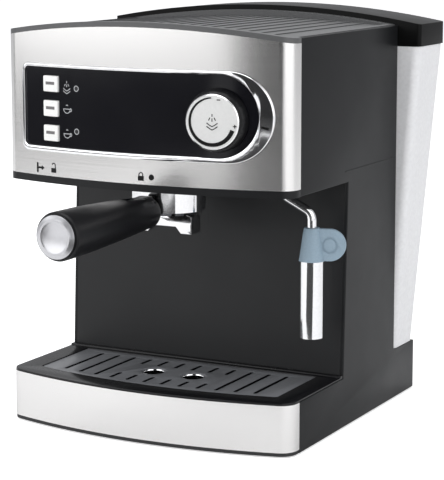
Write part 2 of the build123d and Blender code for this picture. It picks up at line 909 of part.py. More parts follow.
def make_handle_end_cap():
    start = (0, group_y - group_to_handle_tip + end_cap_depth, handle_axis_z)
    profile = [
        (0, 0),
        (handle_end_radius - 1.4, 0),
        (handle_end_radius - 1.4, 0.8),
        (handle_end_radius - 3.0, 1.3),
        (handle_end_radius - 8.0, 2.6),
        (0, end_cap_depth),
    ]
    return lathe(profile, start, (0, -1, 0))


def make_clip_pin():
    reach = clip_width / 2 + 3.6
    return rod(clip_pin_radius, (-reach, group_y - clip_pin_out, clip_pin_z), (1, 0, 0), 2 * reach)


def make_basket_clip():
    pin_y = group_y - clip_pin_out
    top = clip_pin_z + 3.4
    outline = polygon(
        (pin_y + 4.6, clip_pin_z + 0.8),
        (pin_y + 4.6, top - 0.4),
        (pin_y, top),
        (pin_y - 16.0, top - 1.0),
        (pin_y - 22.0, top - 0.4),
        (pin_y - clip_reach, top + 1.2),
        (pin_y - clip_reach + 0.6, top - 1.6),
        (pin_y - 20.0, top - 3.6),
        (pin_y - 5.0, top - 4.2),
        (pin_y - 3.0, clip_pin_z - 2.2),
        (pin_y + 2.2, clip_pin_z - 2.2),
    )
    clip = along_x(outline, -clip_width / 2, clip_width / 2)
    start = (-clip_width, pin_y, clip_pin_z)
    return clip - rod(clip_pin_radius + turn_gap, start, (1, 0, 0), 2 * clip_width)


def make_double_spout():
    half = spout_span / 2
    top = bowl_bottom
    outline = polygon(
        (-half, spout_low),
        (-half, top - 2.0),
        (-half + 3.0, top - 1.0),
        (-10.0, top),
        (10.0, top),
        (half - 3.0, top - 1.0),
        (half, top - 2.0),
        (half, spout_low),
        (half - 8.0, spout_low),
        (half - 12.0, spout_low + 4.5),
        (-half + 12.0, spout_low + 4.5),
        (-half + 8.0, spout_low),
    )
    y_limits = (group_y - spout_width / 2, group_y + spout_width / 2)
    body = along_y(outline, *y_limits)
    inner_y = (y_limits[0] + 1.8, y_limits[1] - 1.8)
    channel = block((-half + 1.8, half - 1.8), inner_y, (spout_low + 6.3, top - 3.0))
    body -= channel
    for side in (-1, 1):
        x_limits = sorted((side * (half - 1.8), side * (half - 6.4)))
        body -= block(x_limits, inner_y, (spout_low, spout_low + 6.4))
    return body - pillar(3.5, group_point, top - 4.0, top)


# ---- Steam wand ----
def wand_end():
    angle = math.radians(wand_angle)
    return (wand_x + wand_reach * math.cos(angle), wand_y + wand_reach * math.sin(angle))


def make_wand_tube():
    x, y = wand_end()
    bend_z = wand_knee_z - wand_reach * math.tan(math.radians(wand_slope))
    points = [
        (wand_x, wand_y, ring_high + 2.0),
        (wand_x, wand_y, wand_knee_z),
        (x, y, bend_z),
        (x, y, wand_tip_z),
    ]
    tube = pipe(points, wand_bend, wand_radius, 1.8)
    stop_z = head_bottom + wall + 10.0
    collar = ring(5.0, wand_radius, (wand_x, wand_y), stop_z + 0.4, stop_z + 2.4)
    return tube + collar


def make_wand_bush():
    top = head_bottom + wall + 10.0
    bush = pillar(bush_radius, (wand_x, wand_y), head_bottom, top)
    bush += pillar(bush_radius + 2.0, (wand_x, wand_y), head_bottom - 1.5, head_bottom)
    return bush - pillar(wand_radius + turn_gap, (wand_x, wand_y), head_bottom - 1.5, top)


def make_frother_sleeve():
    x, y = wand_end()
    sleeve = ring(sleeve_radius, sleeve_radius - sleeve_wall, (x, y), sleeve_low, grip_low)
    cap = ring(sleeve_radius, wand_radius, (x, y), grip_low - 2.0, grip_low)
    rib = ring(sleeve_radius - sleeve_wall, wand_radius, (x, y), grip_low - 14.0, grip_low - 11.0)
    return sleeve + cap + rib


def make_wand_grip():
    x, y = wand_end()
    profile = [
        (wand_radius, grip_low),
        (grip_low_radius, grip_low),
        (grip_low_radius - 0.4, grip_low + 2.0),
        (grip_top_radius + 0.8, grip_high - 4.0),
        (grip_top_radius, grip_high),
        (wand_radius, grip_high),
    ]
    cone = lathe(profile, (x, y, 0), (0, 0, 1))
    angle = math.radians(wand_angle)
    direction = (math.cos(angle), math.sin(angle), 0)
    height = grip_high - grip_low
    radius = height / 2 - 0.4
    tab_plane = Plane(
        origin=(x, y, (grip_low + grip_high) / 2),
        x_dir=direction,
        z_dir=(math.sin(angle), -math.cos(angle), 0),
    )
    flat = Pos((tab_reach - radius) / 2, 0) * Rectangle(tab_reach - radius, 2 * radius)
    flat += Pos(tab_reach - radius, 0) * Circle(radius)
    tab = extrude(tab_plane * flat, tab_thickness / 2, both=True)
    tab -= pillar(wand_radius, (x, y), grip_low, grip_low + height)
    eye = tab_plane * Pos(tab_reach - radius, 0, tab_thickness / 2 - 0.7)
    well = Cylinder(5.6, 1.4, align=(Align.CENTER, Align.CENTER, Align.MIN))
    well -= Cylinder(4.2, 1.4, align=(Align.CENTER, Align.CENTER, Align.MIN))
    return cone + tab - eye * well


# ---- Water tank ----
def tank_outline(half, front, rear, corner):
    face = polygon((-half, front), (half, front), (half, rear), (-half, rear))
    return fillet(face.vertices(), corner)


def tank_shape(inset, low, high):
    """The flared tank body; its sections grow evenly from foot to lid, moved inwards by inset."""
    foot_z, top_z = deck_top + 0.3, lid_bottom - 0.3
    front = tank_front_y + 0.4 + inset
    faces = []
    for z in (low, high):
        share = (z - foot_z) / (top_z - foot_z)
        half = (half_width - 0.4) + share * (half_lid - half_width) - inset
        rear = (base_rear_y - 0.4) + share * (rear_y - base_rear_y) - inset
        faces.append(Pos(0, 0, z) * tank_outline(half, front, rear, max(tank_corner - inset, 1.0)))
    return loft(faces)


def make_water_tank():
    foot_z, top_z = deck_top + 0.3, lid_bottom - 0.3
    shell = tank_shape(0.0, foot_z, top_z) - tank_shape(tank_wall, foot_z + tank_floor, top_z)
    return shell - pillar(spigot_radius, (outlet_x, outlet_y), foot_z, foot_z + tank_floor)


def make_tank_outlet_valve():
    foot_z = deck_top + 0.3
    place = (outlet_x, outlet_y)
    floor_top = foot_z + tank_floor
    stem = ring(spigot_radius, 3.2, place, deck_top - 5.0, floor_top)
    flange = ring(9.0, 3.2, place, floor_top, floor_top + 1.8)
    screen = ring(6.5, 5.3, place, floor_top + 1.8, floor_top + 9.0)
    lid = pillar(6.5, place, floor_top + 9.0, floor_top + 10.2)
    for turn in range(6):
        angle = math.radians(60 * turn)
        screen -= rod(
            0.9, (outlet_x, outlet_y, floor_top + 5.5), (math.cos(angle), math.sin(angle), 0), 10.0
        )
    return stem + flange + screen + lid


def make_tank_lid():
    skin = 2.0
    front = tank_front_y + 0.4
    outer = crowned(half_lid, (front, rear_y), lid_bottom, lid_top_middle)
    upright = outer.edges().filter_by(Axis.Z)
    outer = fillet(upright, 3.0)
    inner = crowned(half_lid - skin, (front + skin, rear_y - skin), lid_bottom, lid_top_middle - skin)
    lip_low = lid_bottom - 4.0
    lip_outer = tank_shape(tank_wall + free_gap, lip_low, lid_bottom)
    lip_inner = tank_shape(tank_wall + free_gap + 1.4, lip_low - 0.1, lid_bottom + 0.1)
    bridge = tank_shape(0.6, lid_bottom, lid_bottom + 1.6) - tank_shape(
        tank_wall + free_gap + 1.4, lid_bottom - 0.1, lid_bottom + 1.7
    )
    return outer - inner + (lip_outer - lip_inner) + bridge


def make_tank_seal():
    return ring(seal_radius, spigot_radius + free_gap, (outlet_x, outlet_y), deck_top - 3.4, deck_top - 0.3)


def make_inlet_spigot():
    place = (outlet_x, outlet_y)
    top = base_housing_top
    cup = ring(12.0, seal_radius, place, top - 10.0, top)
    floor = ring(12.0, 1.8, place, top - 12.0, top - 10.0)
    nipple = ring(hose_bore, 1.8, place, top - 22.0, top - 12.0)
    return cup + floor + nipple


# ---- Pump and hoses ----
def make_pump_body():
    centre = (pump_x, pump_y)
    frame_low = pump_low
    frame_high = pump_low + pump_coil_height
    coil = block((pump_x - 18, pump_x + 18), (pump_y - 20, pump_y + 20), (frame_low, frame_high))
    coil = fillet(coil.edges().filter_by(Axis.Z), 5.0)
    inlet = pillar(9.0, centre, frame_low - 12, frame_low)
    inlet += pillar(hose_bore, centre, frame_low - 24, frame_low - 12)
    outlet = pillar(10.0, centre, frame_high, frame_high + 20)
    nose = pillar(hose_bore, centre, frame_high + 20, frame_high + 32)
    return coil + inlet + outlet + nose


def make_pump_mounts():
    centre = (pump_x, pump_y)
    frame_high = pump_low + pump_coil_height
    low = ring(14.0, 9.0, centre, pump_low - 9, pump_low - 3)
    high = ring(15.0, 10.0, centre, frame_high + 6, frame_high + 12)
    return Compound([low, high])


def make_pump_bracket():
    """Bent steel strap screwed to the rear panel; it holds both rubber mounts."""
    frame_high = pump_low + pump_coil_height
    low_z = pump_low - 9
    high_z = frame_high + 6
    back = tank_front_y - wall
    post = block((pump_x - 12, pump_x + 12), (back - 1.5, back), (low_z - 3, high_z + 9))
    arms = block((pump_x - 17, pump_x + 17), (pump_y - 17, back), (low_z - 1.5, low_z))
    arms += block((pump_x - 17, pump_x + 17), (pump_y - 17, back), (high_z - 1.5, high_z))
    arms -= pillar(10.5, (pump_x, pump_y), low_z - 2, low_z)
    arms -= pillar(10.5, (pump_x, pump_y), high_z - 1.5, high_z)
    return post + arms


def make_suction_hose():
    top = base_housing_top - 12.0
    run_z = housing_low + 9.0
    points = [
        (outlet_x, outlet_y, top),
        (outlet_x, outlet_y, run_z),
        (pump_x, pump_y, run_z),
        (pump_x, pump_y, pump_low - 12.0),
    ]
    return pipe(points, 8.0, hose_radius, hose_bore)


def make_pressure_hose():
    start_z = pump_low + pump_coil_height + 20.0
    port_x, port_y = water_port()
    run_z = boiler_top + 16.0
    points = [
        (pump_x, pump_y, start_z),
        (pump_x, pump_y, run_z - 45.0),
        (pump_x, pump_y - 40.0, run_z),
        (port_x, port_y, run_z),
        (port_x, port_y, boiler_top),
    ]
    return pipe(points, 12.0, hose_radius - 1.0, hose_bore)


# ---- All nodes ----
steam_plane, brew_plane, power_plane = button_planes()

nodes = {
    "bottom_plate": make_bottom_plate(),
    "rubber_feet": make_rubber_feet(),
    "bottom_screws": make_bottom_screws(),
    "base_housing": make_base_housing(),
    "tank_shelf": make_tank_shelf(),
    "base_steel_band": make_base_steel_band(),
    "left_side_panel": make_side_panel(-1),
    "right_side_panel": make_side_panel(1),
    "bay_back_panel": make_bay_back_panel(),
    "rear_panel": make_rear_panel(),
    "mains_gland": make_mains_gland(),
    "drip_tray": make_drip_tray(),
    "drip_grille": make_drip_grille(),
    "head_underside": make_head_underside(),
    "head_steel_fascia": make_head_steel_fascia(),
    "fascia_carrier": make_fascia_carrier(),
    "control_panel": make_control_panel(),
    "panel_bezel": make_panel_bezel(),
    "indicator_lamps": make_indicator_lamps(),
    "top_deck": make_top_deck(),
    "steam_button": make_button(steam_plane),
    "brew_button": make_button(brew_plane),
    "power_button": make_button(power_plane),
    "push_switches": make_push_switches(),
    "switch_board": make_switch_board(),
    "knob_body": make_knob_body(),
    "knob_face": make_knob_face(),
    "steam_spindle": make_steam_spindle(),
    "steam_valve": make_steam_valve(),
    "group_ring": make_group_ring(),
    "group_gasket": make_group_gasket(),
    "shower_plate": make_shower_plate(),
    "shower_screw": make_shower_screw(),
    "boiler_lower": make_boiler_lower(),
    "boiler_upper": make_boiler_upper(),
    "boiler_screws": make_boiler_screws(),
    "thermostats": make_thermostats(),
    "steam_pipe": make_steam_pipe(),
    "wand_feed_pipe": make_wand_feed_pipe(),
    "filter_bowl": make_filter_bowl(),
    "filter_basket": make_filter_basket(),
    "filter_handle": make_filter_handle(),
    "handle_end_cap": make_handle_end_cap(),
    "clip_pin": make_clip_pin(),
    "basket_clip": make_basket_clip(),
    "double_spout": make_double_spout(),
    "wand_tube": make_wand_tube(),
    "wand_bush": make_wand_bush(),
    "frother_sleeve": make_frother_sleeve(),
    "wand_grip": make_wand_grip(),
    "water_tank": make_water_tank(),
    "tank_outlet_valve": make_tank_outlet_valve(),
    "tank_lid": make_tank_lid(),
    "tank_seal": make_tank_seal(),
    "inlet_spigot": make_inlet_spigot(),
    "pump_body": make_pump_body(),
    "pump_mounts": make_pump_mounts(),
    "pump_bracket": make_pump_bracket(),
    "suction_hose": make_suction_hose(),
    "pressure_hose": make_pressure_hose(),
}

os.makedirs("parts", exist_ok=True)
for name, shape in nodes.items():
    export_step(shape, f"parts/{name}.step")
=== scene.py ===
import math

import bmesh
import bpy
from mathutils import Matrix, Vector


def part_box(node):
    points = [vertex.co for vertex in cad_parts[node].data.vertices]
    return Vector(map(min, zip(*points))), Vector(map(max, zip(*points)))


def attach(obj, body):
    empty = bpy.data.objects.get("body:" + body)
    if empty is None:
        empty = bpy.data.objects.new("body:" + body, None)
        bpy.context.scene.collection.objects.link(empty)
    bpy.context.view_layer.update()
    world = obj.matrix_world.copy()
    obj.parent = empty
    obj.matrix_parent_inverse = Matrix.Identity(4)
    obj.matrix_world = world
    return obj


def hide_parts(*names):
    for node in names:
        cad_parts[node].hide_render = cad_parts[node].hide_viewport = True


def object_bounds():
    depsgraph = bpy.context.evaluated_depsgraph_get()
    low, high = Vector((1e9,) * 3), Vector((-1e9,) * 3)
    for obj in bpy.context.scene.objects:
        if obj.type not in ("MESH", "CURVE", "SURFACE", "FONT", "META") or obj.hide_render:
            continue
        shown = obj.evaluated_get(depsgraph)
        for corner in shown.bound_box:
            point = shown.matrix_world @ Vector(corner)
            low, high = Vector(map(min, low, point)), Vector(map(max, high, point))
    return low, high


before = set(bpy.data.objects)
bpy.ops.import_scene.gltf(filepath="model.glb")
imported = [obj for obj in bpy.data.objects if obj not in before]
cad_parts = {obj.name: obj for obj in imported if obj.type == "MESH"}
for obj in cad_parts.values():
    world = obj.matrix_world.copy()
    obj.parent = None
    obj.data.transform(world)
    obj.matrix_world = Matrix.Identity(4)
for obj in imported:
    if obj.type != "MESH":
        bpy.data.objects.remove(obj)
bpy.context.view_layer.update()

# ---- Studio ----
# A pale floor and surround, one large soft box to the left of the front, one to the
# right, one overhead and one behind. A dark flag between the front boxes and three on
# the floor give the steel, the chrome and the gloss panel something dark to reflect.
camera_azimuth = math.radians(27.73)
camera_pitch = math.radians(7.86)
camera_distance = 1.267
camera_target = Vector((0.0296, 0.0, 0.1778))
focal_length = 1836.0 / 480  # in frame heights
sensor_size = 36.0
rise = -0.139

camera_data = bpy.data.cameras.new("camera")
camera_data.sensor_width = sensor_size
camera_data.lens = focal_length * sensor_size
camera_data.shift_y = rise
camera = bpy.data.objects.new("camera", camera_data)
sight = Vector((
    -math.sin(camera_azimuth) * math.cos(camera_pitch),
    math.cos(camera_azimuth) * math.cos(camera_pitch),
    -math.sin(camera_pitch),
))
camera.location = camera_target - sight * camera_distance
camera.rotation_mode = "QUATERNION"
camera.rotation_quaternion = sight.to_track_quat("-Z", "Y")
bpy.context.collection.objects.link(camera)
bpy.context.scene.camera = camera
bpy.context.scene.view_settings.view_transform = "Standard"


def new_object(name, mesh):
    """An object at the origin, in the scene."""
    made = bpy.data.objects.new(name, mesh)
    bpy.context.collection.objects.link(made)
    return made


def material_of(name, base, roughness, metallic=0.0, **sockets):
    """A material with a Principled shader; other sockets are given by name with _ for spaces."""
    made = bpy.data.materials.new(name)
    made.use_nodes = True
    shader = made.node_tree.nodes["Principled BSDF"]
    shader.inputs["Base Color"].default_value = (*base, 1)
    shader.inputs["Roughness"].default_value = roughness
    shader.inputs["Metallic"].default_value = metallic
    for socket, value in sockets.items():
        shader.inputs[socket.replace("_", " ")].default_value = value
    return made


floor_colour = (0.93, 0.93, 0.93)
floor_half = 12.0
floor_mesh = bpy.data.meshes.new("studio_floor")
corners = [(-1, -1), (1, -1), (1, 1), (-1, 1)]
floor_points = [(x * floor_half, y * floor_half, 0) for x, y in corners]
floor_mesh.from_pydata(floor_points, [], [(0, 1, 2, 3)])
floor_roughness, floor_lift = 0.7, 0.55
floor_paint = material_of(
    "pale_floor", floor_colour, floor_roughness, Emission_Color=(1, 1, 1, 1)
)
tree = floor_paint.node_tree
ray, lift = tree.nodes.new("ShaderNodeLightPath"), tree.nodes.new("ShaderNodeMapRange")
lift.inputs["To Max"].default_value = floor_lift
tree.links.new(ray.outputs["Is Camera Ray"], lift.inputs["Value"])
tree.links.new(lift.outputs[0], tree.nodes["Principled BSDF"].inputs["Emission Strength"])
floor_mesh.materials.append(floor_paint)
floor = new_object("studio_floor", floor_mesh)
floor.location.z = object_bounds()[0].z
light_aim = Vector((0, 0, 0.15))


def soft_box(name, azimuth, elevation, distance, width, height, power, colour=(1, 1, 1)):
    """A soft box that looks at the machine. Azimuth 0 is straight in front, 90 is the right."""
    data = bpy.data.lights.new(name, "AREA")
    data.shape = "RECTANGLE"
    data.size, data.size_y = width, height
    data.energy = power
    data.color = colour
    box = bpy.data.objects.new(name, data)
    a, e = math.radians(azimuth), math.radians(elevation)
    toward = Vector((math.sin(a) * math.cos(e), -math.cos(a) * math.cos(e), math.sin(e)))
    box.location = light_aim + toward * distance
    box.rotation_mode = "QUATERNION"
    box.rotation_quaternion = (-toward).to_track_quat("-Z", "Y")
    box.visible_camera = False
    bpy.context.collection.objects.link(box)


soft_box("left_front_box", azimuth=-37, elevation=19, distance=2.4, width=3.2, height=1.8, power=24)
soft_box("right_box", azimuth=68, elevation=18, distance=2.6, width=3.1, height=1.8, power=21)
soft_box("overhead_box", azimuth=0, elevation=82, distance=2.2, width=2.0, height=2.0, power=27)
soft_box("rear_box", azimuth=205, elevation=40, distance=2.8, width=2.4, height=1.2, power=9)


def dark_card(name, points):
    """A matt black card that only reflections meet, as it stands behind the lens."""
    mesh = bpy.data.meshes.new(name)
    mesh.from_pydata(points, [], [(0, 1, 3, 2)])
    mesh.materials.append(flag_cloth)
    card = new_object(name, mesh)
    card.visible_camera = False
    card.visible_diffuse = False
    card.visible_shadow = False


def around(azimuth, reach, height):
    """A point reach metres out from the machine, at an azimuth and a height."""
    angle = math.radians(azimuth)
    return (math.sin(angle) * reach, -math.cos(angle) * reach, height)


flag_cloth = material_of("flag_cloth", (0.02, 0.02, 0.02), 0.9)
standing_reach, standing_heights, standing_span = 2.3, (0.01, 2.4), (-3, 31)
dark_card("standing_flag", [
    around(azimuth, standing_reach, height)
    for height in standing_heights for azimuth in standing_span
])
floor_flag_height = 0.012
floor_flags = {
    "near_floor_flag": ((0.30, 1.15), (-12, 48)),
    "far_left_flag": ((1.5, 4.0), (-80, -9)),
    "far_right_flag": ((1.15, 4.0), (-3, 30)),
}
for name, (reaches, azimuths) in floor_flags.items():
    dark_card(name, [
        around(azimuth, reach, floor_flag_height) for reach in reaches for azimuth in azimuths
    ])

world = bpy.data.worlds.new("pale_surround")
world.use_nodes = True
tree = world.node_tree
seen, lit = tree.nodes["Background"], tree.nodes.new("ShaderNodeBackground")
seen_colour, seen_strength = (1.0, 1.0, 1.0, 1), 1.0
lit_colour, lit_strength = (0.96, 0.97, 1.0, 1), 0.55
seen.inputs["Color"].default_value = seen_colour
seen.inputs["Strength"].default_value = seen_strength
lit.inputs["Color"].default_value = lit_colour
lit.inputs["Strength"].default_value = lit_strength
ray, either = tree.nodes.new("ShaderNodeLightPath"), tree.nodes.new("ShaderNodeMixShader")
tree.links.new(ray.outputs["Is Camera Ray"], either.inputs["Fac"])
tree.links.new(lit.outputs[0], either.inputs[1])
tree.links.new(seen.outputs[0], either.inputs[2])
tree.links.new(either.outputs[0], tree.nodes["World Output"].inputs["Surface"])
bpy.context.scene.world = world

# ---- Base: bottom plate, feet, moulding, tank shelf ----
# Injection-moulded black plastic with a fine spark-eroded texture. The bottom plate is
# screwed up into the moulding and stands on four moulded rubber feet.


def node_group(name, inputs, outputs):
    """An empty shader group with float or vector inputs and outputs."""
    group = bpy.data.node_groups.new(name, "ShaderNodeTree")
    for label, value in inputs.items():
        kind = "NodeSocketVector" if value is None else "NodeSocketFloat"
        socket = group.interface.new_socket(label, in_out="INPUT", socket_type=kind)
        if value is not None:
            socket.default_value = value
    for label in outputs:
        group.interface.new_socket(label, in_out="OUTPUT", socket_type="NodeSocketFloat")
    return group, group.nodes.new("NodeGroupInput"), group.nodes.new("NodeGroupOutput")


def noise(group, vector, scale, detail=3.0, roughness=0.5):
    """A noise texture in a group. vector and scale are sockets or plain numbers."""
    made = group.nodes.new("ShaderNodeTexNoise")
    made.inputs["Detail"].default_value = detail
    made.inputs["Roughness"].default_value = roughness
    group.links.new(vector, made.inputs["Vector"])
    if hasattr(scale, "default_value"):
        group.links.new(scale, made.inputs["Scale"])
    else:
        made.inputs["Scale"].default_value = scale
    return made.outputs["Fac"]


def spread(group, value, low, high, start=0.0, end=1.0):
    """Maps value from start..end to low..high, clamped."""
    made = group.nodes.new("ShaderNodeMapRange")
    group.links.new(value, made.inputs["Value"])
    for label, given in (("From Min", start), ("From Max", end), ("To Min", low), ("To Max", high)):
        if hasattr(given, "default_value"):
            group.links.new(given, made.inputs[label])
        else:
            made.inputs[label].default_value = given
    return made.outputs["Result"]


# Moulded texture: tiny rounded pits over the whole surface, with slow patches where the
# tool has polished it, or hands have.
moulded, enter, leave = node_group(
    "moulded_texture",
    {"Vector": None, "Grain": 900.0, "Dull": 0.5, "Polished": 0.35},
    ["Height", "Roughness", "Shade"],
)
patches_per_metre, pit_shade = 14.0, (0.9, 1.1)
pits = noise(moulded, enter.outputs["Vector"], enter.outputs["Grain"], detail=2.0)
patches = noise(
    moulded, enter.outputs["Vector"], patches_per_metre, detail=4.0, roughness=0.6
)
worn = spread(moulded, patches, 0.0, 1.0, start=0.35, end=0.7)
polish = spread(moulded, worn, enter.outputs["Dull"], enter.outputs["Polished"])
moulded.links.new(pits, leave.inputs["Height"])
moulded.links.new(polish, leave.inputs["Roughness"])
moulded.links.new(spread(moulded, pits, *pit_shade), leave.inputs["Shade"])


def object_coordinates(tree):
    """The piece's own coordinates, in metres."""
    return tree.nodes.new("ShaderNodeTexCoord").outputs["Object"]


def placed(tree, group, **values):
    """A group node in a material, on Object coordinates, with its own values."""
    made = tree.nodes.new("ShaderNodeGroup")
    made.node_tree = group
    tree.links.new(object_coordinates(tree), made.inputs["Vector"])
    for label, value in values.items():
        made.inputs[label.replace("_", " ")].default_value = value
    return made


def bumped(tree, height, strength, distance):
    """Feeds a height into the shader's normal through a Bump node."""
    bump = tree.nodes.new("ShaderNodeBump")
    bump.inputs["Strength"].default_value = strength
    bump.inputs["Distance"].default_value = distance
    tree.links.new(height, bump.inputs["Height"])
    tree.links.new(bump.outputs["Normal"], tree.nodes["Principled BSDF"].inputs["Normal"])


def shaded(tree, colour, factor):
    """Feeds colour times factor into the shader's Base Color."""
    mix = tree.nodes.new("ShaderNodeVectorMath")
    mix.operation = "SCALE"
    mix.inputs[0].default_value = colour
    tree.links.new(factor, mix.inputs["Scale"])
    tree.links.new(mix.outputs[0], tree.nodes["Principled BSDF"].inputs["Base Color"])


pit_depth = 0.0002


def moulded_plastic(name, colour, grain, dull, polished, strength=0.12, **sockets):
    """A moulded plastic or rubber: its colour, its texture per metre and its two roughnesses."""
    made = material_of(name, colour, dull, **sockets)
    tree = made.node_tree
    texture = placed(tree, moulded, Grain=grain, Dull=dull, Polished=polished)
    tree.links.new(texture.outputs["Roughness"], tree.nodes["Principled BSDF"].inputs["Roughness"])
    shaded(tree, colour, texture.outputs["Shade"])
    bumped(tree, texture.outputs["Height"], strength, pit_depth)
    return made


def dress(material, *nodes):
    """Gives carried-over CAD nodes a material."""
    for node in nodes:
        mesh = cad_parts[node].data
        for index in range(max(1, len(mesh.materials))):
            if index < len(mesh.materials):
                mesh.materials[index] = material
            else:
                mesh.materials.append(material)


black_plastic = moulded_plastic(
    "black_plastic", colour=(0.009, 0.0095, 0.0105), grain=1500, dull=0.42, polished=0.34,
    Specular_IOR_Level=0.22,
)
bay_plastic = moulded_plastic(
    "bay_plastic", colour=(0.010, 0.0105, 0.0115), grain=1500, dull=0.46, polished=0.36,
    Specular_IOR_Level=0.34,
)
underside_plastic = moulded_plastic(
    "underside_plastic", colour=(0.012, 0.012, 0.013), grain=1100, dull=0.6, polished=0.5,
)
foot_rubber = moulded_plastic(
    "foot_rubber", colour=(0.02, 0.02, 0.02), grain=2200, dull=0.85, polished=0.75, strength=0.3,
)
dress(underside_plastic, "bottom_plate", "base_housing", "tank_shelf")
dress(foot_rubber, "rubber_feet")


merge_distance, flat_angle = 0.000005, 0.6


def cad_mesh(node, name):
    """A copy of a CAD node's mesh with its doubled points merged and its flat faces joined."""
    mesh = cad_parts[node].data.copy()
    mesh.name = name
    shape = bmesh.new()
    shape.from_mesh(mesh)
    bmesh.ops.remove_doubles(shape, verts=shape.verts, dist=merge_distance)
    flat = math.radians(flat_angle)
    bmesh.ops.dissolve_limit(shape, angle_limit=flat, verts=shape.verts, edges=shape.edges)
    shape.to_mesh(mesh)
    shape.free()
    return mesh


def baked(piece):
    """Turns a piece's modifiers into its mesh."""
    graph = bpy.context.evaluated_depsgraph_get()
    mesh = bpy.data.meshes.new_from_object(piece.evaluated_get(graph), depsgraph=graph)
    piece.modifiers.clear()
    piece.data = mesh
    return piece


shading_angle = 32


def softened(node, name, radius, material, body, segments=2, angle=28):
    """A CAD node made again with its sharp edges rounded, on its own body."""
    piece = new_object(name, cad_mesh(node, name))
    bevel = piece.modifiers.new("edge", "BEVEL")
    bevel.width = radius
    bevel.segments = segments
    bevel.limit_method = "ANGLE"
    bevel.angle_limit = math.radians(angle)
    bevel.miter_outer = "MITER_ARC"
    baked(piece)
    piece.data.materials.clear()
    piece.data.materials.append(material)
    piece.data.shade_smooth()
    piece.data.set_sharp_from_angle(angle=math.radians(shading_angle))
    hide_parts(node)
    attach(piece, body)
    return piece


for side in ("left", "right"):
    softened(
        f"{side}_side_panel", f"{side}_side_moulding", radius=0.0008, material=black_plastic,
        body="housing",
    )
dress(bay_plastic, "bay_back_panel")

# Where the head's side overlaps the column's, each side shows one fine moulded ledge.
bay_low, bay_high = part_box("bay_back_panel")
rear_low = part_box("rear_panel")[0]
ledge_half, ledge_proud, ledge_sunk, ledge_end = 0.0005, 0.0003, 0.0004, 0.001
ledge_flat = ledge_half * 0.4
ledge_section = [
    (-ledge_sunk, -ledge_half), (ledge_proud, -ledge_flat),
    (ledge_proud, ledge_flat), (-ledge_sunk, ledge_half),
]
for sign, side in ((-1, "left"), (1, "right")):
    side_low, side_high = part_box(f"{side}_side_panel")
    skin = side_high.x if sign > 0 else side_low.x
    ledge = bmesh.new()
    rings = []
    for y in (bay_low.y + ledge_end, rear_low.y - ledge_end):
        points = [(skin + sign * out, y, bay_high.z + up) for out, up in ledge_section]
        rings.append([ledge.verts.new(point) for point in points])
    front_ring, back_ring = rings
    for index in range(len(ledge_section)):
        after = (index + 1) % len(ledge_section)
        ledge.faces.new((front_ring[index], front_ring[after], back_ring[after], back_ring[index]))
    ledge.faces.new(front_ring[::-1])
    ledge.faces.new(back_ring)
    bmesh.ops.recalc_face_normals(ledge, faces=ledge.faces)
    ledge_mesh = bpy.data.meshes.new(f"{side}_side_ledge")
    ledge.to_mesh(ledge_mesh)
    ledge.free()
    ledge_mesh.materials.append(black_plastic)
    seam = new_object(f"{side}_side_ledge", ledge_mesh)
    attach(seam, "housing")
dress(black_plastic, "rear_panel", "mains_gland", "head_underside", "fascia_carrier")

# ---- Bottom screws ----
# Six pan-head tapping screws, zinc-plated steel with a cross recess, driven up through
# the bottom plate. One screw is drawn once and placed at every hole.
screw_zinc = moulded_plastic(
    "screw_zinc", colour=(0.62, 0.62, 0.6), grain=2000, dull=0.38, polished=0.28, strength=0.05,
    metallic=1.0,
)


def tree_nodes(name, sizes):
    """An empty geometry tree with a mesh in, a mesh out and named size inputs."""
    tree = bpy.data.node_groups.new(name, "GeometryNodeTree")
    tree.interface.new_socket("Geometry", in_out="INPUT", socket_type="NodeSocketGeometry")
    for label in sizes:
        tree.interface.new_socket(label, in_out="INPUT", socket_type="NodeSocketFloat")
    tree.interface.new_socket("Geometry", in_out="OUTPUT", socket_type="NodeSocketGeometry")
    return tree, tree.nodes.new("NodeGroupInput"), tree.nodes.new("NodeGroupOutput")


def tree_node(tree, kind, fields=None, **links):
    """A node in a tree. fields sets its own settings, links feeds its sockets by name."""
    made = tree.nodes.new(kind)
    for field, value in (fields or {}).items():
        setattr(made, field, value)
    for label, given in links.items():
        numbered = label[0] == "_"
        socket = made.inputs[int(label[1:]) if numbered else label.replace("_", " ")]
        if hasattr(given, "default_value") or hasattr(given, "is_output"):
            tree.links.new(given, socket)
        else:
            socket.default_value = given
    return made


grown_shading_angle = 30


def grown(name, points, tree, sizes, material):
    """Runs a geometry tree over a set of points and returns a plain mesh piece."""
    mesh = bpy.data.meshes.new(name)
    mesh.from_pydata(points, [], [])
    piece = new_object(name, mesh)
    modifier = piece.modifiers.new("grow", "NODES")
    modifier.node_group = tree
    for item in tree.interface.items_tree:
        if item.in_out == "INPUT" and item.name in sizes:
            modifier[item.identifier] = sizes[item.name]
    baked(piece)
    piece.data.materials.clear()
    piece.data.materials.append(material)
    piece.data.set_sharp_from_angle(angle=math.radians(grown_shading_angle))
    return piece


def solid_boxes(node):
    """The lowest and highest corner of each separate solid in a CAD node, in order."""
    shape = bmesh.new()
    shape.from_mesh(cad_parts[node].data)
    bmesh.ops.remove_doubles(shape, verts=shape.verts, dist=2 * merge_distance)
    left, found = set(shape.verts), []
    while left:
        island, edge = set(), [left.pop()]
        while edge:
            vertex = edge.pop()
            island.add(vertex)
            for link in vertex.link_edges:
                other = link.other_vert(vertex)
                if other in left:
                    left.remove(other)
                    edge.append(other)
        places = [vertex.co for vertex in island]
        low = Vector([min(place[axis] for place in places) for axis in range(3)])
        high = Vector([max(place[axis] for place in places) for axis in range(3)])
        found.append((low, high))
    shape.free()
    return sorted(found, key=lambda box: [round(value, 5) for value in box[0]])


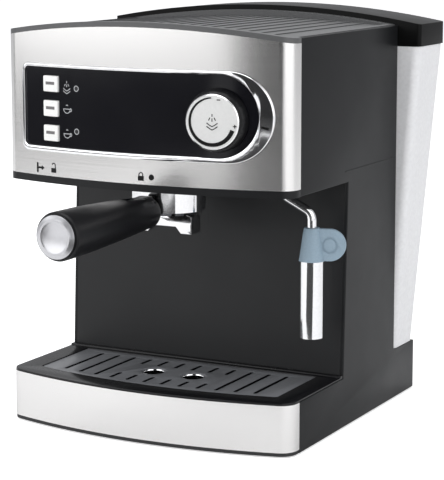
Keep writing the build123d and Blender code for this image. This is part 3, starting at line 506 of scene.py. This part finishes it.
def placed_copy(tree, geometry, **links):
    """A geometry moved, turned or scaled inside a tree."""
    return tree_node(tree, "GeometryNodeTransform", Geometry=geometry, **links).outputs[0]


def finished(tree, leave, sites, instance, material):
    """Ends a tree: one instance at every point, made real and given its material."""
    spots = tree_node(tree, "GeometryNodeMeshToPoints", Mesh=sites).outputs[0]
    many = tree_node(tree, "GeometryNodeInstanceOnPoints", Points=spots, Instance=instance)
    real = tree_node(tree, "GeometryNodeRealizeInstances", Geometry=many.outputs[0])
    painted = tree_node(
        tree, "GeometryNodeSetMaterial", Geometry=real.outputs[0], Material=material
    )
    tree.links.new(painted.outputs[0], leave.inputs[0])


recess_length, recess_width, recess_depth = 0.0035, 0.0008, 0.0016
head_segments, shank_segments = 32, 20
tree, enter, leave = tree_nodes(
    "cross_head_screws", ["Head Radius", "Head Height", "Shank Radius", "Length"]
)
size = enter.outputs
half_shank = tree_node(
    tree, "ShaderNodeMath", {"operation": "MULTIPLY"}, _0=size["Length"], _1=0.5
).outputs[0]
head_blank = tree_node(
    tree, "GeometryNodeMeshCone", Radius_Top=size["Head Radius"],
    Radius_Bottom=size["Shank Radius"], Depth=size["Head Height"], Vertices=head_segments,
)
shank = tree_node(
    tree, "GeometryNodeMeshCylinder", Radius=size["Shank Radius"], Depth=size["Length"],
    Vertices=shank_segments,
)
wing = tree_node(
    tree, "ShaderNodeCombineXYZ", X=recess_length, Y=recess_width, Z=recess_depth
).outputs[0]
bar = tree_node(tree, "GeometryNodeMeshCube", Size=wing).outputs["Mesh"]
turned = placed_copy(tree, bar, Rotation=(0, 0, math.pi / 2))
cross = tree_node(tree, "GeometryNodeJoinGeometry")
tree.links.new(bar, cross.inputs[0])
tree.links.new(turned, cross.inputs[0])
recess = tree_node(
    tree, "GeometryNodeMeshBoolean", {"operation": "DIFFERENCE"}, _0=head_blank.outputs["Mesh"]
)
tree.links.new(cross.outputs[0], recess.inputs["Mesh 2"])
down = tree_node(tree, "ShaderNodeCombineXYZ", Z=half_shank).outputs[0]
whole = tree_node(tree, "GeometryNodeJoinGeometry")
tree.links.new(placed_copy(tree, recess.outputs[0], Rotation=(math.pi, 0, 0)), whole.inputs[0])
tree.links.new(placed_copy(tree, shank.outputs["Mesh"], Translation=down), whole.inputs[0])
finished(tree, leave, size["Geometry"], whole.outputs[0], screw_zinc)

screw_solids = solid_boxes("bottom_screws")
head_height, shank_radius = 0.0017, 0.0014
screw_low, screw_high = screw_solids[0]
screw_points = [
    ((low.x + high.x) / 2, (low.y + high.y) / 2, low.z + head_height / 2)
    for low, high in screw_solids
]
bottom_screws = grown("bottom_cross_screws", screw_points, tree, {
    "Head Radius": (screw_high.x - screw_low.x) / 2,
    "Head Height": head_height,
    "Shank Radius": shank_radius,
    "Length": (screw_high.z - screw_low.z) - head_height / 2,
}, screw_zinc)
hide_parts("bottom_screws")
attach(bottom_screws, "housing")

# ---- Steel band and head fascia ----
# Thin stainless sheet, brushed along its length before it is rolled to the bow, and
# clipped over the plastic behind. The brushing is fine scratches, each a little uneven.
brushed, enter, leave = node_group(
    "brushed_grain",
    {"Vector": None, "Along": 6.0, "Across": 2600.0, "Dull": 0.34, "Bright": 0.22},
    ["Height", "Roughness", "Shade"],
)
stretch = brushed.nodes.new("ShaderNodeVectorMath")
stretch.operation = "MULTIPLY"
scales = brushed.nodes.new("ShaderNodeCombineXYZ")
for axis, label in zip("XYZ", ("Along", "Along", "Across")):
    brushed.links.new(enter.outputs[label], scales.inputs[axis])
brushed.links.new(enter.outputs["Vector"], stretch.inputs[0])
brushed.links.new(scales.outputs[0], stretch.inputs[1])
scratch_span = {"start": 0.3, "end": 0.7}
scratch_shade = (0.975, 1.015)
scratches = noise(brushed, stretch.outputs[0], 1.0, detail=2.0)
sheen = spread(
    brushed, scratches, enter.outputs["Bright"], enter.outputs["Dull"], **scratch_span
)
brushed.links.new(scratches, leave.inputs["Height"])
brushed.links.new(sheen, leave.inputs["Roughness"])
brushed.links.new(
    spread(brushed, scratches, *scratch_shade, **scratch_span), leave.inputs["Shade"]
)
scratch_depth = 0.00003


def brushed_metal(name, colour, along, across, dull, bright, strength, metallic=1.0, **sockets):
    """A brushed metal: its colour, scratches per metre along and across, and roughnesses."""
    made = material_of(name, colour, dull, metallic, **sockets)
    tree = made.node_tree
    grain = placed(tree, brushed, Along=along, Across=across, Dull=dull, Bright=bright)
    tree.links.new(grain.outputs["Roughness"], tree.nodes["Principled BSDF"].inputs["Roughness"])
    shaded(tree, colour, grain.outputs["Shade"])
    bumped(tree, grain.outputs["Height"], strength, scratch_depth)
    return made


brushed_steel = brushed_metal(
    "brushed_steel", colour=(0.82, 0.81, 0.80), along=9, across=5200, dull=0.27, bright=0.22,
    strength=0.025,
)
dress(brushed_steel, "base_steel_band", "head_steel_fascia")

fascia_low, fascia_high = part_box("head_steel_fascia")
bow_depth = 0.0165
half_span = fascia_high.x
bow_radius = (half_span**2 + bow_depth**2) / (2 * bow_depth)
bow_centre = fascia_low.y + bow_radius


def on_front(x, z, out):
    """A point on the bowed front, x across and z up, standing out metres off the steel."""
    reach = bow_radius + out
    sine = x / bow_radius
    return Vector((reach * sine, bow_centre - reach * math.sqrt(1 - sine**2), z))


def ribbon(shape, points, widths, place, low, high, closed=False):
    """Adds a printed line to a mesh: points are (u, v), and place puts them on a surface."""
    count = len(points)
    if not hasattr(widths, "__len__"):
        widths = [widths] * count
    rings = []
    for index, (u, v) in enumerate(points):
        before = points[index - 1] if index or closed else points[index]
        after = points[(index + 1) % count] if index < count - 1 or closed else points[index]
        first = Vector((u - before[0], v - before[1]))
        second = Vector((after[0] - u, after[1] - v))
        way = (first.normalized() if first.length else Vector((0, 0)))
        way = way + (second.normalized() if second.length else Vector((0, 0)))
        way.normalize()
        turn = first.normalized().dot(way) if first.length else 1.0
        side = Vector((-way.y, way.x)) * widths[index] / 2 / max(turn, 0.5)
        corners = [(1, low), (-1, low), (-1, high), (1, high)]
        points_round = [place(u + s * side.x, v + s * side.y, h) for s, h in corners]
        rings.append([shape.verts.new(point) for point in points_round])
    pairs = list(zip(rings, rings[1:])) + ([(rings[-1], rings[0])] if closed else [])
    for one, two in pairs:
        for k in range(4):
            shape.faces.new((one[k], one[(k + 1) % 4], two[(k + 1) % 4], two[k]))
    if not closed:
        shape.faces.new(rings[0][::-1])
        shape.faces.new(rings[-1])


def patch(shape, points, place, low, high):
    """Adds a filled printed shape to a mesh."""
    floor_ring = [shape.verts.new(place(u, v, low)) for u, v in points]
    top_ring = [shape.verts.new(place(u, v, high)) for u, v in points]
    shape.faces.new(floor_ring[::-1])
    shape.faces.new(top_ring)
    for index in range(len(points)):
        after = (index + 1) % len(points)
        shape.faces.new((floor_ring[index], floor_ring[after], top_ring[after], top_ring[index]))


def printed(name, draw, material, body):
    """A thin layer of printing ink, drawn by a function that fills a mesh."""
    shape = bmesh.new()
    draw(shape)
    bmesh.ops.recalc_face_normals(shape, faces=shape.faces)
    mesh = bpy.data.meshes.new(name)
    shape.to_mesh(mesh)
    shape.free()
    mesh.materials.append(material)
    piece = new_object(name, mesh)
    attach(piece, body)
    return piece


def arc(centre, radius, start, end, steps=16):
    """Points on an arc, from one angle to another in degrees."""
    angles = [math.radians(start + (end - start) * step / steps) for step in range(steps + 1)]
    return [(centre[0] + radius * math.cos(a), centre[1] + radius * math.sin(a)) for a in angles]


# Printed on the fascia: an arrow and an open padlock where the holder goes in, and a
# closed padlock with a dot where it is tight.
print_black = moulded_plastic(
    "print_black", colour=(0.004, 0.004, 0.004), grain=2500, dull=0.5, polished=0.42, strength=0.05,
    Specular_IOR_Level=0.2,
)
ink_low, ink_high = 0.00002, 0.00008
mark_z = 0.1827
lock_half, lock_foot, lock_top = 0.0022, -0.0026, 0.0006
shackle_radius, shackle_rise, shackle_foot, shackle_line = 0.0014, 0.0008, 0.0004, 0.0007
shackle_open = 0.0012


def padlock(shape, x, z, opened):
    """A padlock about 4 mm wide; its shackle is lifted off on the left when it is open."""
    sides = [(-lock_half, lock_foot), (lock_half, lock_foot), (lock_half, lock_top)]
    sides.append((-lock_half, lock_top))
    patch(shape, [(x + u, z + v) for u, v in sides], on_front, ink_low, ink_high)
    middle = z + lock_top + shackle_rise + (shackle_open if opened else 0)
    bow = [(x + shackle_radius, z + shackle_foot)]
    bow += arc((x, middle), shackle_radius, 0, 180, 10)
    if not opened:
        bow.append((x - shackle_radius, z + shackle_foot))
    ribbon(shape, bow, shackle_line, on_front, ink_low, ink_high)


bar_x, tip_x, bar_half = -0.0805, -0.0740, 0.0034
bar_line, shaft_line, shaft_end = 0.0015, 0.0014, 0.001
head_length, head_half = 0.0026, 0.0017
open_lock_x, closed_lock_x, dot_x, dot_radius = -0.0655, 0.0065, 0.0144, 0.0020
# A full ring of points stops one step short, because its last point is its first.
full_ring = {"start": 0, "end": 345, "steps": 23}


def fascia_marks(shape):
    """The arrow, the open padlock, the closed padlock and the dot."""
    z, ink = mark_z, (on_front, ink_low, ink_high)
    ribbon(shape, [(bar_x, z - bar_half), (bar_x, z + bar_half)], bar_line, *ink)
    ribbon(shape, [(bar_x, z), (tip_x - shaft_end, z)], shaft_line, *ink)
    back = tip_x - head_length
    patch(shape, [(back, z - head_half), (tip_x, z), (back, z + head_half)], *ink)
    padlock(shape, open_lock_x, z, opened=True)
    padlock(shape, closed_lock_x, z, opened=False)
    patch(shape, arc((dot_x, z), dot_radius, **full_ring), *ink)


printed("fascia_print", fascia_marks, print_black, "housing")

# ---- Drip tray and grille ----
# A glossier black tray with a wide rim, and a grey lift-out grille plate with rows of
# slots; faces of the grille that do not face up take the tray's black as painted shade.
# Its two pour holes have polished lips.
tray_black = moulded_plastic(
    "tray_black", colour=(0.006, 0.006, 0.007), grain=1800, dull=0.3, polished=0.2, strength=0.06,
    Specular_IOR_Level=0.3,
)
grille_grey = moulded_plastic(
    "grille_grey", colour=(0.185, 0.190, 0.202), grain=2400, dull=0.38, polished=0.3, strength=0.1,
)
softened(
    "drip_tray", "drip_tray_moulding", radius=0.0006, material=tray_black, body="drip_tray",
)
grille = softened(
    "drip_grille", "drip_grille_plate", radius=0.0002, material=grille_grey, body="drip_grille",
)
grille.data.materials.append(tray_black)
# Faces of the grille that do not face up, its slot walls among them, take tray_black as painted
# shade in the slots.
slot_shade_limit = 0.6
for face in grille.data.polygons:
    face.material_index = 0 if face.normal.z > slot_shade_limit else 1
chrome = moulded_plastic(
    "chrome", colour=(0.88, 0.88, 0.89), grain=700, dull=0.09, polished=0.05, strength=0.01,
    metallic=1.0,
)

lip_segments, lip_section_segments = 64, 16
tree, enter, leave = tree_nodes("pour_hole_lips", ["Hole Radius", "Lip Width", "Depth"])
size = enter.outputs
circle = tree_node(
    tree, "GeometryNodeCurvePrimitiveCircle", Resolution=lip_segments,
    Radius=size["Hole Radius"],
)
section = tree_node(
    tree, "GeometryNodeCurvePrimitiveCircle", Resolution=lip_section_segments,
    Radius=size["Lip Width"],
)
squash = tree_node(
    tree, "ShaderNodeMath", {"operation": "DIVIDE"}, _0=size["Depth"], _1=size["Lip Width"]
).outputs[0]
tall = tree_node(tree, "ShaderNodeCombineXYZ", X=1.0, Y=squash, Z=1.0).outputs[0]
oval = placed_copy(tree, section.outputs[0], Scale=tall)
lip = tree_node(tree, "GeometryNodeCurveToMesh", Curve=circle.outputs[0])
tree.links.new(oval, lip.inputs["Profile Curve"])
finished(tree, leave, size["Geometry"], lip.outputs[0], chrome)

grille_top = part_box("drip_grille")[1].z
group_low, group_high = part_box("group_ring")
hole_offset, hole_radius, hole_behind_spouts = 0.0157, 0.0082, 0.0055
lip_width, lip_depth, lip_sunk = 0.0005, 0.0013, 0.0004
hole_y = (group_low.y + group_high.y) / 2 + hole_behind_spouts
lip_z = grille_top - lip_depth - lip_sunk
hole_spots = [(side * hole_offset, hole_y, lip_z) for side in (-1, 1)]
lips = grown("pour_hole_lips", hole_spots, tree, {
    "Hole Radius": hole_radius - lip_width,
    "Lip Width": lip_width,
    "Depth": lip_depth,
}, chrome)
lips.data.shade_smooth()
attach(lips, "drip_grille")

# ---- Top deck ----
# The cup-warming deck, one grey moulding with a finer grain than the sides. It drops
# over the head and is held by hidden snaps.
deck_grey = moulded_plastic(
    "deck_grey", colour=(0.085, 0.086, 0.088), grain=1400, dull=0.4, polished=0.3, strength=0.1,
)
dress(deck_grey, "top_deck")

# ---- Control panel ----
# A gloss black panel in a chrome-plated surround, three white keys with a dash on each,
# two small lamps in printed rings, and pale printed signs for steam and coffee.
gloss_black = moulded_plastic(
    "gloss_black", colour=(0.006, 0.006, 0.008), grain=300, dull=0.13, polished=0.08, strength=0.02,
    Specular_IOR_Level=0.3,
)
key_white = moulded_plastic(
    "key_white", colour=(0.84, 0.84, 0.82), grain=1500, dull=0.45, polished=0.35, strength=0.05,
)
lamp_dark = moulded_plastic(
    "lamp_dark", colour=(0.030, 0.030, 0.032), grain=600, dull=0.2, polished=0.12, strength=0.02,
)
print_grey = moulded_plastic(
    "print_grey", colour=(0.42, 0.43, 0.44), grain=2500, dull=0.5, polished=0.42, strength=0.05,
)
print_dash = moulded_plastic(
    "print_dash", colour=(0.14, 0.135, 0.135), grain=2500, dull=0.5, polished=0.42, strength=0.05,
)
dress(gloss_black, "control_panel")
softened(
    "panel_bezel", "panel_surround", radius=0.0010, material=chrome, body="housing",
    segments=3,
)
dress(lamp_dark, "indicator_lamps")

panel_proud = 0.0006
panel_ink = (panel_proud + ink_low, panel_proud + ink_high)
sign_x, sign_line = -0.0525, 0.0005
steam_z, steam_size = 0.2392, 0.0086
cup_rows, cup_size = (0.2240, 0.2072), 0.0078
# The height of each sign in the units that it is drawn in.
steam_sign_units, cup_sign_units = 9.6, 8.0


def steam_sign(shape, place, size, line, low, high):
    """Rising steam over two chevrons, size metres tall."""
    unit = size / steam_sign_units
    strokes = [
        [(0, 4.8), (0, 3.2)], [(0, 2.2), (0, 0.2)],
        [(-1.3, 2.6), (-2.2, 0.9)], [(1.3, 2.6), (2.2, 0.9)],
        [(-3.4, -0.6), (-1.4, -2.0), (0, -2.7), (1.4, -2.0), (3.4, -0.6)],
        [(-3.4, -2.6), (-1.4, -4.0), (0, -4.7), (1.4, -4.0), (3.4, -2.6)],
    ]
    for points in strokes:
        ribbon(shape, [(u * unit, v * unit) for u, v in points], line, place, low, high)


def cup_sign(shape, place, size, line, low, high):
    """A round cup with its handle and a wisp of steam, size metres tall."""
    unit = size / cup_sign_units
    bowl = arc((0, 0.6), 2.9, 180, 360, 18)
    ear = arc((3.0, 0.0), 1.1, 100, -110, 10)
    wisp = [(-0.9, 3.0), (0, 3.5), (0.9, 3.0)]
    for points, closed in ((bowl, True), (ear, False), (wisp, False)):
        ribbon(shape, [(u * unit, v * unit) for u, v in points], line, place, low, high, closed)


def beside_key(z):
    """Places a sign on the front, centred beside the key at a height."""
    return lambda u, v, out: on_front(sign_x + u, z + v, out)


def panel_marks(shape):
    """The steam sign and the two cup signs."""
    steam_sign(shape, beside_key(steam_z), steam_size, sign_line, *panel_ink)
    for row in cup_rows:
        cup_sign(shape, beside_key(row), cup_size, sign_line, *panel_ink)


printed("panel_print", panel_marks, print_grey, "housing")

lamp_x, lamp_ring_radius, lamp_ring_line = -0.0443, 0.0018, 0.0005


def lamp_rings(shape):
    """A ring round each lamp."""
    for low, high in solid_boxes("indicator_lamps"):
        ring = arc((lamp_x, (low.z + high.z) / 2), lamp_ring_radius, **full_ring)
        ribbon(shape, ring, lamp_ring_line, on_front, *panel_ink, closed=True)


printed("lamp_rings", lamp_rings, print_grey, "housing")

key_x, key_front = -0.0660, 0.0022
key_rows = {"steam_button": 0.2411, "brew_button": 0.2243, "power_button": 0.2075}
dash_half, dash_rise, dash_line = 0.0038, 0.0004, 0.0020
dash_ink = (key_front + 0.00002, key_front + 0.00012)
for key, row in key_rows.items():
    softened(
        key, key.replace("_button", "_key"), radius=0.0007, material=key_white, body=key,
        segments=3,
    )
    dash = [(key_x - dash_half, row + dash_rise), (key_x + dash_half, row + dash_rise)]
    printed(
        key.replace("_button", "_key_dash"),
        lambda shape: ribbon(shape, dash, dash_line, on_front, *dash_ink),
        print_dash, key,
    )

# ---- Steam knob ----
# A black collar with a spun aluminium face. The face has a smoother chamfer whose lighter,
# fully metallic colour is painted highlight, a printed arc that thickens towards full steam,
# a minus, a plus and a steam sign.
handle_black = moulded_plastic(
    "handle_black", colour=(0.005, 0.005, 0.006), grain=1300, dull=0.42, polished=0.3,
    strength=0.08, Specular_IOR_Level=0.22,
)
knob_silver = brushed_metal(
    "knob_silver", colour=(0.74, 0.74, 0.73), along=500, across=500, dull=0.42, bright=0.36,
    strength=0.04, metallic=0.35,
)
# The chamfer's aluminium: a lighter, fully metallic copy of the face's, as painted highlight; its
# lower roughness is the cut edge's own.
knob_rim_painted_highlight = brushed_metal(
    "knob_rim_painted_highlight", colour=(0.88, 0.88, 0.88), along=500, across=500, dull=0.25, bright=0.2,
    strength=0.03,
)
softened(
    "knob_body", "steam_knob_shell", radius=0.0005, material=handle_black, body="steam_knob",
)
knob_x, knob_z = 0.0620, 0.2228
knob_out = Vector((knob_x / bow_radius, -math.sqrt(1 - (knob_x / bow_radius) ** 2), 0))
knob_right = Vector((-knob_out.y, knob_out.x, 0))
knob_seat = on_front(knob_x, knob_z, 0.0)
face_low, face_radius, face_depth = 0.0120, 0.0180, 0.0014


def on_knob(u, v, out):
    """A point on the knob: u to the right, v up and out along its axis, from the steel."""
    return knob_seat + knob_right * u + Vector((0, 0, v)) + knob_out * out


disc_shading_angle = 25


def turned_disc(name, profile, place, materials, edge_from, segments=96):
    """A lathed piece from a (radius, height) profile.

    Faces that lie outside the radius edge_from take the second material.
    """
    shape = bmesh.new()
    rings = []
    for radius, height in profile:
        if radius == 0:
            rings.append([shape.verts.new(place(0, 0, height))])
            continue
        ring = []
        for step in range(segments):
            angle = 2 * math.pi * step / segments
            point = place(radius * math.cos(angle), radius * math.sin(angle), height)
            ring.append(shape.verts.new(point))
        rings.append(ring)
    for (one, two), (start, end) in zip(zip(rings, rings[1:]), zip(profile, profile[1:])):
        for step in range(segments):
            after = (step + 1) % segments
            if len(one) == 1:
                face = shape.faces.new((one[0], two[step], two[after]))
            elif len(two) == 1:
                face = shape.faces.new((one[step], two[0], one[after]))
            else:
                face = shape.faces.new((one[step], two[step], two[after], one[after]))
            face.material_index = 1 if min(start[0], end[0]) >= edge_from else 0
            face.smooth = True
    bmesh.ops.recalc_face_normals(shape, faces=shape.faces)
    mesh = bpy.data.meshes.new(name)
    shape.to_mesh(mesh)
    shape.free()
    for material in materials:
        mesh.materials.append(material)
    mesh.set_sharp_from_angle(angle=math.radians(disc_shading_angle))
    return new_object(name, mesh)


face_top = face_low + face_depth
chamfer_width, chamfer_depth, face_crown, edge_margin = 0.0007, 0.0006, 0.0001, 0.0001
face_profile = [
    (0, face_low), (face_radius, face_low), (face_radius, face_top - chamfer_depth),
    (face_radius - chamfer_width, face_top), (0, face_top + face_crown),
]
# Faces beyond edge_from, the chamfer, take the painted highlight copy of the aluminium.
knob_face = turned_disc(
    "steam_knob_face", face_profile, on_knob, [knob_silver, knob_rim_painted_highlight],
    edge_from=face_radius - chamfer_width - edge_margin,
)
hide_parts("knob_face")
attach(knob_face, "steam_knob")
knob_ink = (face_top + 0.00008, face_top + 0.0002)
knob_line, sign_half, sign_gap, knob_sign_size = 0.0006, 0.0012, 0.0003, 0.0104
arc_outer, arc_start, arc_turn, arc_steps = 0.0160, 92, 248, 60
thin, thicker, thickening = 0.0008, 0.0021, 0.8
minus_place, plus_place = (0.0150, 73), (0.0155, -9)


def polar(radius, angle):
    """A point at a radius and an angle in degrees."""
    return radius * math.cos(math.radians(angle)), radius * math.sin(math.radians(angle))


def knob_marks(shape):
    """The thickening arc, the minus, the plus and the steam sign."""
    shares = [step / arc_steps for step in range(arc_steps + 1)]
    widths = [thin + thicker * share**thickening for share in shares]
    points = [
        polar(arc_outer - width / 2, arc_start + arc_turn * share)
        for share, width in zip(shares, widths)
    ]
    ribbon(shape, points, widths, on_knob, *knob_ink)
    (minus_u, minus_v), (plus_u, plus_v) = polar(*minus_place), polar(*plus_place)
    for ends in (
        [(minus_u - sign_half, minus_v), (minus_u + sign_half, minus_v)],
        [(plus_u - sign_half, plus_v), (plus_u + sign_half, plus_v)],
        [(plus_u, plus_v - sign_half), (plus_u, plus_v - sign_gap)],
        [(plus_u, plus_v + sign_gap), (plus_u, plus_v + sign_half)],
    ):
        ribbon(shape, ends, knob_line, on_knob, *knob_ink)
    steam_sign(shape, on_knob, knob_sign_size, knob_line, *knob_ink)


printed("steam_knob_print", knob_marks, print_black, "steam_knob")

pointer_ends, pointer_line = [(0.0905, 0.2190), (0.0952, 0.2180)], 0.0016
pointer_ink = (0.0022, 0.0023)


def pointer_mark(shape):
    """The black tick on the surround that the knob is read against."""
    ribbon(shape, pointer_ends, pointer_line, on_front, *pointer_ink)


printed("knob_pointer_mark", pointer_mark, print_black, "housing")

# ---- Group and filter holder ----
# Chrome-plated brass bowl, collar and double spout. The grip is a satin moulded handle
# closed by a pressed aluminium cap, with the basket clip let into its top.
cap_silver = brushed_metal(
    "cap_silver", colour=(0.62, 0.62, 0.64), along=400, across=400, dull=0.36, bright=0.28,
    strength=0.04, metallic=0.9,
)
clip_dark = moulded_plastic(
    "clip_dark", colour=(0.030, 0.030, 0.032), grain=900, dull=0.3, polished=0.22, strength=0.03,
    metallic=0.4,
)
dress(chrome, "group_ring", "filter_bowl", "filter_basket", "shower_screw")
dress(clip_dark, "clip_pin")
softened(
    "double_spout", "double_spout_casting", radius=0.0008, material=chrome, body="filter_holder",
    segments=3,
)
softened(
    "basket_clip", "basket_clip_lever", radius=0.0005, material=handle_black, body="basket_clip",
)
softened(
    "filter_handle", "filter_handle_grip", radius=0.0010, material=handle_black,
    body="filter_holder", segments=3,
)
cap_low, cap_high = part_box("handle_end_cap")
cap_radius = (cap_high.z - cap_low.z) / 2
cap_middle = (cap_low + cap_high) / 2
cap_depth = cap_high.y - cap_low.y


def on_handle_end(u, v, out):
    """A point at the handle's end, out from the cap's inner face."""
    return Vector((cap_middle.x + u, cap_high.y - out, cap_middle.z + v))


end_lip, lip_heights, shoulder = 0.0004, (0.0008, 0.0012, 0.0018), 0.0012
dish_radius, dish_depth, dish_ring = 0.0112, 0.0010, 0.0012
face_edge = cap_radius - end_lip
cap_profile = [
    (0, 0), (cap_radius, 0), (cap_radius, lip_heights[0]), (face_edge, lip_heights[1]),
    (face_edge - shoulder, lip_heights[2]), (dish_radius, cap_depth),
    (dish_radius - dish_ring, cap_depth),
    (dish_radius - 2 * dish_ring, cap_depth - dish_depth * 0.6), (0, cap_depth - dish_depth),
]
end_cap = turned_disc(
    "handle_end_disc", cap_profile, on_handle_end, [cap_silver, handle_black],
    edge_from=face_edge,
)
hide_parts("handle_end_cap")
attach(end_cap, "filter_holder")

# ---- Steam wand ----
# A bent chrome-plated tube with a slip-on frother sleeve, and a silicone grip whose tab
# keeps fingers off the hot metal.
grip_blue = moulded_plastic(
    "grip_blue", colour=(0.262, 0.352, 0.425), grain=900, dull=0.62, polished=0.5, strength=0.05,
)
dress(chrome, "wand_tube", "frother_sleeve")
dress(handle_black, "wand_bush")
softened(
    "wand_grip", "wand_silicone_grip", radius=0.0009, material=grip_blue, body="steam_wand",
    segments=3,
)

# ---- Water tank ----
# A blow-moulded, frosted clear tank under an arched black lid.
tank_clear = moulded_plastic(
    "tank_clear", colour=(0.93, 0.93, 0.94), grain=420, dull=0.46, polished=0.36, strength=0.04,
    Transmission_Weight=0.2,
)
dress(tank_clear, "water_tank")
lid_black = moulded_plastic(
    "lid_black", colour=(0.004, 0.004, 0.004), grain=1500, dull=0.4, polished=0.3,
    Specular_IOR_Level=0.08,
)
softened(
    "tank_lid", "tank_lid_moulding", radius=0.0012, material=lid_black, body="tank_lid",
    segments=3,
)

# ---- Boiler, valve and pipes ----
# A die-cast aluminium boiler in two halves under four cap screws, two clip-on
# thermostats, a brass steam valve and soft copper pipes silver-soldered into unions.
cast_aluminium = moulded_plastic(
    "cast_aluminium", colour=(0.50, 0.50, 0.51), grain=420, dull=0.55, polished=0.42, strength=0.35,
    metallic=0.9,
)
brass = moulded_plastic(
    "brass", colour=(0.62, 0.43, 0.16), grain=600, dull=0.34, polished=0.24, strength=0.06,
    metallic=1.0,
)
copper = moulded_plastic(
    "copper", colour=(0.66, 0.33, 0.20), grain=240, dull=0.36, polished=0.24, strength=0.04,
    metallic=1.0,
)
dress(cast_aluminium, "boiler_lower", "boiler_upper")
dress(screw_zinc, "boiler_screws", "thermostats")
dress(brass, "steam_valve", "steam_spindle")
dress(copper, "steam_pipe", "wand_feed_pipe")

# ---- Pump, hoses and water path ----
# A vibration pump in a glass-filled body between two rubber mounts, with a clear silicone
# suction hose from the tank and a braided white pressure hose to the boiler.
pump_grey = moulded_plastic(
    "pump_grey", colour=(0.20, 0.20, 0.20), grain=700, dull=0.55, polished=0.45, strength=0.2,
)
hose_clear = moulded_plastic(
    "hose_clear", colour=(0.72, 0.72, 0.70), grain=500, dull=0.35, polished=0.22, strength=0.03,
    Transmission_Weight=0.35,
)
hose_white = moulded_plastic(
    "hose_white", colour=(0.74, 0.74, 0.71), grain=2600, dull=0.6, polished=0.5, strength=0.3,
)
valve_white = moulded_plastic(
    "valve_white", colour=(0.66, 0.66, 0.64), grain=1200, dull=0.5, polished=0.4, strength=0.08,
)
plated_steel = brushed_metal(
    "plated_steel", colour=(0.55, 0.55, 0.55), along=40, across=2400, dull=0.42, bright=0.32,
    strength=0.08,
)
dress(pump_grey, "pump_body")
dress(foot_rubber, "pump_mounts")
dress(plated_steel, "pump_bracket")
dress(hose_clear, "suction_hose")
dress(hose_white, "pressure_hose")
dress(valve_white, "inlet_spigot", "tank_outlet_valve")

# ---- Switches and seals ----
# Three latching push switches soldered to a glass-fibre board behind the keys, and the
# silicone seals of the group and the tank.
board_green = moulded_plastic(
    "board_green", colour=(0.020, 0.115, 0.050), grain=1900, dull=0.45, polished=0.35,
    strength=0.08,
)
switch_blue = moulded_plastic(
    "switch_blue", colour=(0.05, 0.10, 0.20), grain=1500, dull=0.5, polished=0.4, strength=0.08,
)
seal_silicone = moulded_plastic(
    "seal_silicone", colour=(0.42, 0.10, 0.06), grain=900, dull=0.65, polished=0.55, strength=0.06,
)
dress(board_green, "switch_board")
dress(switch_blue, "push_switches")
dress(seal_silicone, "group_gasket", "tank_seal")
dress(plated_steel, "shower_plate")
